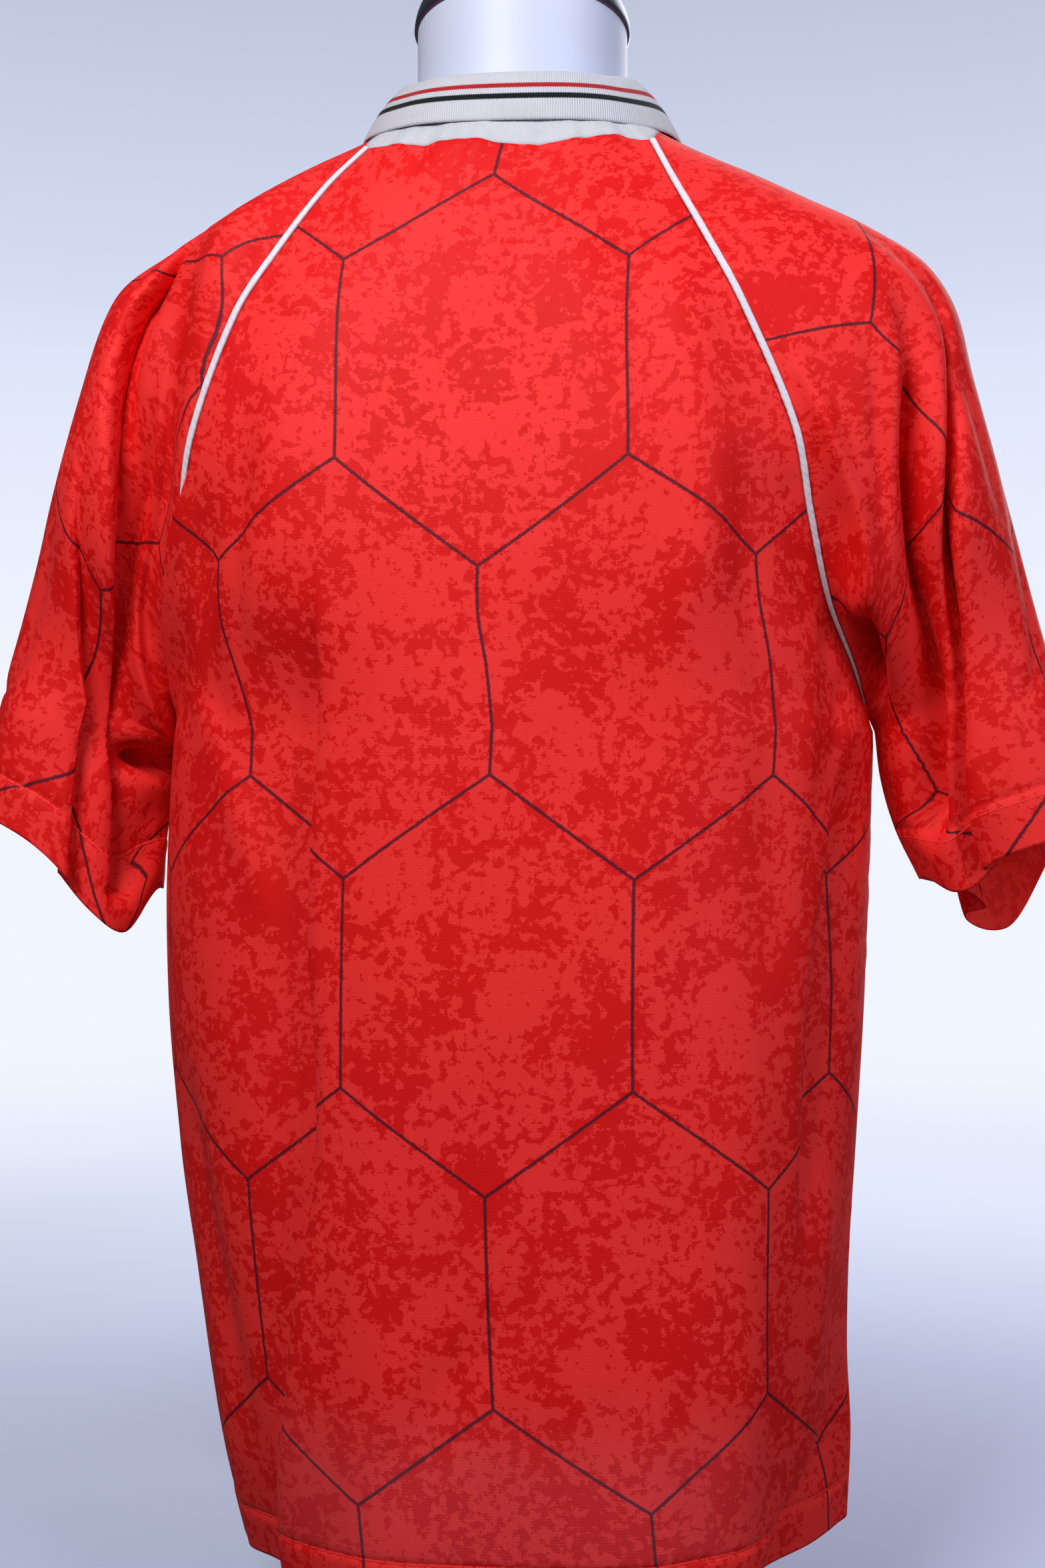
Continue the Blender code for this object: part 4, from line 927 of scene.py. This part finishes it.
def sleeve_panel(side, columns, runs, seed):
    """Points of a sleeve with its folds, rows from cuff to neck."""
    tube_to = runs.index(1.0)
    folds = LEFT_SLEEVE_FOLDS if side > 0 else RIGHT_SLEEVE_FOLDS
    grid, shifts = [], []
    for run in runs:
        points, shares = sleeve_row(side, run, columns)
        if side > 0:
            points.reverse()
            shares.reverse()
        row_shifts = []
        cuff_height = (2 - run) * CUFF_RUN
        crossing = folds_at(folds, run)
        for point, share in zip(points, shares):
            lift, slide = fold_moves(crossing, share)
            down = 0.0
            for pocket in SLEEVE_POCKETS:
                if pocket.side == side:
                    across = (share - pocket.share) / pocket.share_width
                    along = (run - pocket.run) / pocket.run_width
                    near = math.exp(-across * across - along * along)
                    lift += pocket.depth * near
                    down += pocket.droop * near
            edge = (1 - abs(share)) * HALF_SLEEVE
            calm = ease((1 - abs(share)) / SLEEVE_CALM)
            lift = lift * calm + rumple(point, edge, seed) * ease(edge / RUMPLES_CALM)
            lift += hem_relief(cuff_height) * ease(edge / HEM_CALM)
            row_shifts.append((lift, slide * calm * side, down * calm))
        grid.append(points)
        shifts.append(row_shifts)
    return moved_cloth(grid, grid_normals(grid, tube_to), shifts)


CUFF_ROWS = [2 - height / CUFF_RUN for height in HEM_ROW_HEIGHTS]
TUBE_RUNS = spread(CUFF_ROWS[-1] - 0.05, 1.0, TUBE_ROWS)
SLEEVE_RUNS = CUFF_ROWS + TUBE_RUNS[:-1] + spread(1.0, 0.0, SHOULDER_ROWS)
sleeve_grids = {}
for side, name in ((1, "left"), (-1, "right")):
    grid = sleeve_panel(side, SLEEVE_COLUMNS, SLEEVE_RUNS, SLEEVE_SEED + side)
    sleeve_grids[side] = grid
    mesh = joined(surface(grid, flat_lengths(grid, SLEEVE_COLUMNS // 2)))
    sleeve = piece("jersey_sleeve_" + name, mesh, sleeve_face, red_reverse)
    shell(sleeve)
    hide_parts("sleeve_" + name)

# ---- Piping ---------------------------------------------------------------------------------
# A cord covered in off-white cotton tape is caught in each raglan seam, back and front, from
# the neckline to just above the armpit. The needle draws it in a little along its length.
PIPING_ROWS = 170
PIPING_START = 0.06
PIPING_CROWN = 0.0018
PIPING_ROUNDNESS = 0.6
PIPING_WALL = 0.0008
PIPING_STEPS = 8
NEAR_COLUMNS = 40
# How much prouder it stands at the armpit, how far it turns to face back or front there, and how
# much the stitches vary it
LOW_PROUD = 0.9
LOW_TURN = 0.75
STITCH_DRAW = 0.10


def piping_tape():
    """Bleached cotton tape, matt and very slightly pink, with the ribs of a twill."""
    material, tree, shader = fresh_material("cotton_piping_tape")
    tape = node(tree, "ShaderNodeUVMap", uv_map="cut")
    # The white drifts over about 11 mm, as handled tape does
    tone = node(tree, "ShaderNodeTexNoise", {"Vector": tape, "Scale": 90.0, "Detail": 3.0})
    colour = node(tree, "ShaderNodeMix", {0: tone, 6: linear("#D5CAD2"), 7: linear("#E2DAE2")}, 2,
                  data_type="RGBA")
    # Twill ribs are drawn 3.4 mm apart, where real ones are about 0.6 mm, so that they show
    ribs = node(tree, "ShaderNodeTexWave", {"Vector": tape, "Scale": 130.0, "Distortion": 0.6, "Detail": 1.0},
                bands_direction="DIAGONAL")
    bump = node(tree, "ShaderNodeBump", {"Height": ribs, "Strength": 0.35, "Distance": 0.0004})
    tree.links.new(colour, shader.inputs["Base Color"])
    tree.links.new(bump, shader.inputs["Normal"])
    shader.inputs["Roughness"].default_value = 0.8
    shader.inputs["IOR"].default_value = 1.5
    shader.inputs["Sheen Weight"].default_value = 0.15
    return material


def piping_strip(side, face):
    """Rows of the piping across its width, from the armpit up to the neckline. Towards the
    armpit it stands prouder and faces straight back or front, to show beside the sleeve."""
    rows, along = [], 0.0
    cut, last = [], None
    for rise in spread(PIPING_START, 1.0, PIPING_ROWS):
        seam = raglan_point(side, face, rise)
        width = raglan_pull(rise) - SEAM_GAP
        body_points = body_row(face, 1 + rise, NEAR_COLUMNS)[0]
        to_body = (body_points[1 if side > 0 else -2] - seam).normalized()
        sleeve_points = sleeve_row(side, 1 - rise, NEAR_COLUMNS)[0]
        to_sleeve = (sleeve_points[1 if face > 0 else -2] - seam).normalized()
        above, below = raglan_point(side, face, min(rise + 0.01, 1)), raglan_point(side, face, rise - 0.01)
        ahead = (above - below).normalized()
        outward = ahead.cross(to_sleeve - to_body).normalized()
        if outward.dot(Vector((0, face, 0.3))) < 0:
            outward.negate()
        outward = outward.lerp(Vector((0.0, face, 0.0)), LOW_TURN * (1 - ease(rise / 0.45))).normalized()
        drawn = 1 + STITCH_DRAW * noise.noise(Vector((rise * 60, side, face)))
        proud = 1 + LOW_PROUD * (1 - ease(rise / 0.40))
        row, places = [], []
        for angle in spread(0.0, math.pi, PIPING_STEPS + 1):
            reach = -math.cos(angle)
            arm = to_sleeve * max(reach, 0) + to_body * max(-reach, 0)
            crown = outward * PIPING_CROWN * proud * drawn * max(math.sin(angle), 0.0) ** PIPING_ROUNDNESS
            row.append(seam + arm * width * drawn + crown)
            places.append(reach * width)
        if side * face < 0:
            row.reverse()
            places = [-p for p in reversed(places)]
        along += (seam - last).length if last else 0.0
        last = seam
        rows.append(row[::-1])
        cut.append([(-p, along) for p in reversed(places)])
    return rows, cut


tape = piping_tape()
for side, side_name in ((1, "left"), (-1, "right")):
    for face, face_name in ((1, "back"), (-1, "front")):
        rows, cut = piping_strip(side, face)
        strip = piece(f"jersey_piping_{face_name}_{side_name}", surface(rows, cut), tape)
        shell(strip, PIPING_WALL)
        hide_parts(f"piping_{face_name}_{side_name}")

# ---- Neckband -------------------------------------------------------------------------------
# A flat band of off-white rib knit is sewn to the neckline, all round. It shows below the
# collar's free edge, and its lower seam wanders with the gathered cloth.
Collar = namedtuple("Collar", "turn seam seam_height roll roll_height leaf leaf_height")
COLLAR_SECTIONS = (
    Collar(-45, 0.0820, 0.8755, 0.0705, 0.8990, 0.0938, 0.8672),
    Collar(0, 0.0850, 0.8680, 0.0740, 0.8945, 0.0902, 0.8632),
    Collar(45, 0.0820, 0.8755, 0.0705, 0.8990, 0.0938, 0.8672),
    Collar(90, 0.0750, 0.8830, 0.0685, 0.9060, 0.0956, 0.8697),
    Collar(135, 0.0755, 0.8560, 0.0710, 0.8780, 0.1106, 0.8400),
    Collar(168, 0.0800, 0.8270, 0.0745, 0.8420, 0.1326, 0.7760),
    Collar(180, 0.0830, 0.8140, 0.0770, 0.8290, 0.1376, 0.7600),
)
NECKBAND_KNIT = 0.0014
NECKBAND_RIB = 0.0016
NECKBAND_ROWS = 9


def around_neck(turn, radius, height):
    """A point around the neck: turn in degrees from the back, + to the wearer's left."""
    angle = math.radians(turn)
    return Vector((radius * math.sin(angle), radius * math.cos(angle), height))


def rib_knit(name, rib_pitch, stripes=()):
    """Off-white cotton and polyester rib knit, matt and a little fluffy, with fine upright ribs.
    stripes are knitted in: their height, width and colour, with edges that step with the ribs.
    The loops' fuzz is about 0.7 mm from bump to bump and the tone drifts over about 17 mm."""
    material, tree, shader = fresh_material(name)
    cloth = node(tree, "ShaderNodeUVMap", uv_map="cut")
    along = node(tree, "ShaderNodeSeparateXYZ", {0: cloth}, 0)
    up = node(tree, "ShaderNodeSeparateXYZ", {0: cloth}, 1)
    phase = node(tree, "ShaderNodeMath", {0: along, 1: 2 * math.pi / rib_pitch}, operation="MULTIPLY")
    rib = node(tree, "ShaderNodeMath", {0: phase}, operation="SINE")
    loops = node(tree, "ShaderNodeTexNoise", {"Vector": cloth, "Scale": 1400.0, "Detail": 2.0})
    fuzz = node(tree, "ShaderNodeTexNoise", {"Vector": cloth, "Scale": 60.0, "Detail": 3.0})
    colour = node(tree, "ShaderNodeMix", {0: fuzz, 6: linear("#BFBDC4"), 7: linear("#CDCBD2")}, 2,
                  data_type="RGBA")
    # Painted shade: the valleys between the ribs are greyed
    rib_valley_shade = node(tree, "ShaderNodeMapRange", {0: rib, 1: -1.0, 2: 0.2, 3: 0.16, 4: 0.0})
    colour = node(tree, "ShaderNodeMix", {0: rib_valley_shade, 6: colour, 7: linear("#9A99A3")}, 2, data_type="RGBA")
    step = node(tree, "ShaderNodeMath", {0: rib, 1: 0.0}, operation="GREATER_THAN")
    stepped = node(tree, "ShaderNodeMath", {0: step, 1: 0.0005, 2: up}, operation="MULTIPLY_ADD")
    for height, width, shade in stripes:
        apart = node(tree, "ShaderNodeMath", {0: stepped, 1: height}, operation="SUBTRACT")
        apart = node(tree, "ShaderNodeMath", {0: apart}, operation="ABSOLUTE")
        inside = node(tree, "ShaderNodeMapRange", {0: apart, 1: width / 2 - 0.0001, 2: width / 2 + 0.0001,
                                                   3: 1.0, 4: 0.0})
        colour = node(tree, "ShaderNodeMix", {0: inside, 6: colour, 7: linear(shade)}, 2, data_type="RGBA")
    tree.links.new(colour, shader.inputs["Base Color"])
    relief = node(tree, "ShaderNodeMath", {0: loops, 1: 0.5, 2: rib}, operation="MULTIPLY_ADD")
    bump = node(tree, "ShaderNodeBump", {"Height": relief, "Strength": 0.5, "Distance": 0.00035})
    tree.links.new(bump, shader.inputs["Normal"])
    shader.inputs["Roughness"].default_value = 0.85
    shader.inputs["IOR"].default_value = 1.5
    shader.inputs["Specular IOR Level"].default_value = 0.25
    shader.inputs["Sheen Weight"].default_value = 0.06
    shader.inputs["Sheen Roughness"].default_value = 0.5
    return material


loop = []
for edge in (sleeve_grids[1][-1], back_grid[-1], sleeve_grids[-1][-1], front_grid[-1]):
    loop.extend(edge)
high = []
for point in loop:
    turn = math.degrees(math.atan2(point.x, point.y))
    high.append(around_neck(turn, read(COLLAR_SECTIONS, "seam", abs(turn)),
                            read(COLLAR_SECTIONS, "seam_height", abs(turn))))
rows = []
for share in spread(0.0, 1.0, NECKBAND_ROWS):
    row = []
    for low_point, high_point in zip(loop, high):
        rise = (high_point - low_point).normalized()
        start, end = low_point + rise * SEAM_GAP, high_point - rise * SEAM_GAP
        row.append(start.lerp(end, share))
    rows.append(row + row[:1])
mesh = joined(surface(rows, flat_lengths(rows, len(loop) // 2)))
neckband = piece("jersey_neckband", mesh, rib_knit("rib_knit_neckband", NECKBAND_RIB))
shell(neckband, NECKBAND_KNIT)
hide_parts("neckband")

# ---- Collar ---------------------------------------------------------------------------------
# A flat-knitted polo collar, one strip with a red and a black stripe knitted in, sewn to the
# neckband by its long edge, standing up against the neck and turned down over its own seam.
COLLAR_OPENING = 4.0
COLLAR_KNIT = 0.0009
COLLAR_RIB = 0.0014
COLLAR_COLUMNS = 220
ROLL_HALF_WIDTH = 0.0024
COLLAR_LEAN = 0.0016
LEAF_BELLY = 0.0024
STAND_HOLLOW = 0.0010
LEAF_ROWS = 22
STAND_ROWS = 10


def collar_profile(turn):
    """The collar's cross-section at one turn, from its free edge over the roll to its seam."""
    at = abs(turn)
    radius, height = read(COLLAR_SECTIONS, "leaf", at), read(COLLAR_SECTIONS, "leaf_height", at)
    height += COLLAR_LEAN * min(math.sin(math.radians(turn)), 0.0)
    leaf = Vector((radius, height))
    roll = Vector((read(COLLAR_SECTIONS, "roll", at), read(COLLAR_SECTIONS, "roll_height", at)))
    seam_height = read(COLLAR_SECTIONS, "seam_height", at) + 3 * SEAM_GAP
    seam = Vector((read(COLLAR_SECTIONS, "seam", at) - NECKBAND_KNIT, seam_height))
    down = (leaf - roll).normalized()
    proud = Vector((-down.y, down.x)) if down.x > 0 else Vector((down.y, -down.x))
    leaf_top = roll + Vector((ROLL_HALF_WIDTH * 0.9, -ROLL_HALF_WIDTH * 0.5))
    points = []
    for share in spread(0.0, 1.0, LEAF_ROWS):
        belly = LEAF_BELLY * math.sin(math.pi * share) ** 0.8
        points.append(leaf.lerp(leaf_top, share) + proud * belly)
    for angle in spread(0.35 * math.pi, 1.0 * math.pi, 8)[1:]:
        points.append(roll + Vector((math.cos(angle), math.sin(angle) - 1.0)) * ROLL_HALF_WIDTH)
    stand_top = points[-1]
    for share in spread(0.0, 1.0, STAND_ROWS)[1:]:
        points.append(stand_top.lerp(seam, share) - Vector((STAND_HOLLOW * math.sin(math.pi * share), 0.0)))
    return points


turns = spread(180 - COLLAR_OPENING, COLLAR_OPENING - 180, COLLAR_COLUMNS + 1)
profiles = [collar_profile(turn) for turn in turns]
rows = [
    [around_neck(turn, profile[r].x, profile[r].y) for turn, profile in zip(turns, profiles)]
    for r in range(len(profiles[0]))
]
leaf_points = profiles[COLLAR_COLUMNS // 2][:LEAF_ROWS]
leaf_width = sum((after - before).length for before, after in zip(leaf_points, leaf_points[1:]))
collar_knit = rib_knit("flat_knit_collar", COLLAR_RIB, (
    (leaf_width * 0.68, 0.0035, "#A8141B"),
    (leaf_width * 0.45, 0.0038, "#030509"),
))
collar = piece("jersey_collar", surface(rows, flat_lengths(rows, COLLAR_COLUMNS // 2)), collar_knit)
shell(collar, COLLAR_KNIT)
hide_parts("collar")

# ---- Studio ---------------------------------------------------------------------------------
# A pale round sweep that is floor and background in one, a key and a cooler fill lamp on the
# back's side, a broad lamp on the front's side, a weak one overhead, and a camera level with the
# chest.
SWEEP_RADIUS = 3.0
SWEEP_COLUMNS = 97
SWEEP_COVE = 0.6
SWEEP_HEIGHT = 3.2
CAMERA_DISTANCE = 1.28
CAMERA_TURN = math.radians(6)
CAMERA_HEIGHT = 0.50
ROOM_LIGHT = 0.115


def sweep_paint():
    """Matt pale paint, with a painted shadow that greys the floor near the object and a painted
    fall of light that leaves it whitest at eye level and blue-grey high up. The wall gives its own
    light, so that it stays even. The ranges are in metres."""
    material, tree, shader = fresh_material("matt_sweep_paint")
    place = node(tree, "ShaderNodeTexCoord", out="Object")
    height = node(tree, "ShaderNodeSeparateXYZ", {0: place}, 2)
    ground = node(tree, "ShaderNodeVectorMath", {0: place, 1: (1.0, 1.0, 0.0)}, operation="MULTIPLY")
    out = node(tree, "ShaderNodeVectorMath", {0: ground}, 1, operation="LENGTH")
    # Painted shadow: the floor is greyest near the object and whitens farther out
    near = node(tree, "ShaderNodeMapRange", {0: out, 1: 0.1, 2: 0.9})
    far = node(tree, "ShaderNodeMapRange", {0: out, 1: 0.7, 2: 2.6})
    # Painted fall of light: whitest at eye level and blue-grey high up
    low = node(tree, "ShaderNodeMapRange", {0: height, 1: 0.7, 2: 1.45})
    top = node(tree, "ShaderNodeMapRange", {0: height, 1: 1.3, 2: 2.1})
    colour = node(tree, "ShaderNodeMix", {0: near, 6: linear("#B8C1DC"), 7: linear("#D5DCF6")}, 2,
                  data_type="RGBA")
    colour = node(tree, "ShaderNodeMix", {0: far, 6: colour, 7: linear("#F1F5FF")}, 2, data_type="RGBA")
    colour = node(tree, "ShaderNodeMix", {0: low, 6: colour, 7: linear("#DAE2FA")}, 2, data_type="RGBA")
    colour = node(tree, "ShaderNodeMix", {0: top, 6: colour, 7: linear("#BCC3DA")}, 2, data_type="RGBA")
    glow = node(tree, "ShaderNodeMapRange", {0: out, 1: 0.5, 2: 1.8})
    lit = node(tree, "ShaderNodeMix", {0: glow, 6: colour, 7: linear("#000000")}, 2, data_type="RGBA")
    tree.links.new(lit, shader.inputs["Base Color"])
    tree.links.new(colour, shader.inputs["Emission Color"])
    tree.links.new(glow, shader.inputs["Emission Strength"])
    shader.inputs["Roughness"].default_value = 1.0
    shader.inputs["Specular IOR Level"].default_value = 0.0
    return material


profile = [(0.0, 0.0), (1.2, 0.0)]
for angle in spread(0.0, math.pi / 2, 12):
    radius = SWEEP_RADIUS - SWEEP_COVE * (1 - math.sin(angle))
    profile.append((radius, SWEEP_COVE * (1 - math.cos(angle))))
profile.append((SWEEP_RADIUS, SWEEP_HEIGHT))
rows = []
for radius, height in profile:
    angles = spread(0, 2 * math.pi, SWEEP_COLUMNS)
    rows.append([Vector((radius * math.sin(a), radius * math.cos(a), height)) for a in angles])
cut = [[(0.0, 0.0)] * SWEEP_COLUMNS] * len(rows)
sweep = shown("sweep", joined(surface(rows, cut)), sweep_paint())
sweep.visible_diffuse = False
sweep.visible_glossy = False


def lamp(name, place, aim, size, power, colour="#FFFFFF"):
    """A square soft box that faces the point it is aimed at; its side in metres, its watts."""
    light = bpy.data.lights.new(name, "AREA")
    light.size = size
    light.energy = power
    light.color = linear(colour)[:3]
    thing = bpy.data.objects.new(name, light)
    thing.location = place
    thing.rotation_euler = (Vector(aim) - Vector(place)).to_track_quat("-Z", "Y").to_euler()
    bpy.context.scene.collection.objects.link(thing)


lamp("key_box", (0.43, 1.22, 1.56), (0.0, 0.1, 0.68), 0.62, 21.5)
lamp("fill_box", (-1.5, 1.3, 1.4), (-0.1, 0.1, 0.66), 1.2, 22, "#E6EEFF")
lamp("front_key_box", (-0.55, -1.90, 1.35), (0.0, -0.1, 0.55), 1.8, 34)
lamp("top_box", (0.0, -0.2, 2.4), (0.0, 0.0, 0.60), 1.2, 3)

world = bpy.data.worlds.new("soft_room")
world.use_nodes = True
world.node_tree.nodes["Background"].inputs["Color"].default_value = linear("#E8EEFF")
world.node_tree.nodes["Background"].inputs["Strength"].default_value = ROOM_LIGHT
bpy.context.scene.world = world
bpy.context.scene.view_settings.view_transform = "Standard"

lens = bpy.data.cameras.new("camera")
lens.sensor_fit = "VERTICAL"
lens.sensor_height = 36
lens.lens = 50
camera = bpy.data.objects.new("camera", lens)
look = Vector((math.sin(CAMERA_TURN), -math.cos(CAMERA_TURN), 0.0))
camera.location = Vector((0.0, 0.0, CAMERA_HEIGHT)) - look * CAMERA_DISTANCE
camera.rotation_euler = look.to_track_quat("-Z", "Y").to_euler()
bpy.context.scene.collection.objects.link(camera)
bpy.context.scene.camera = camera
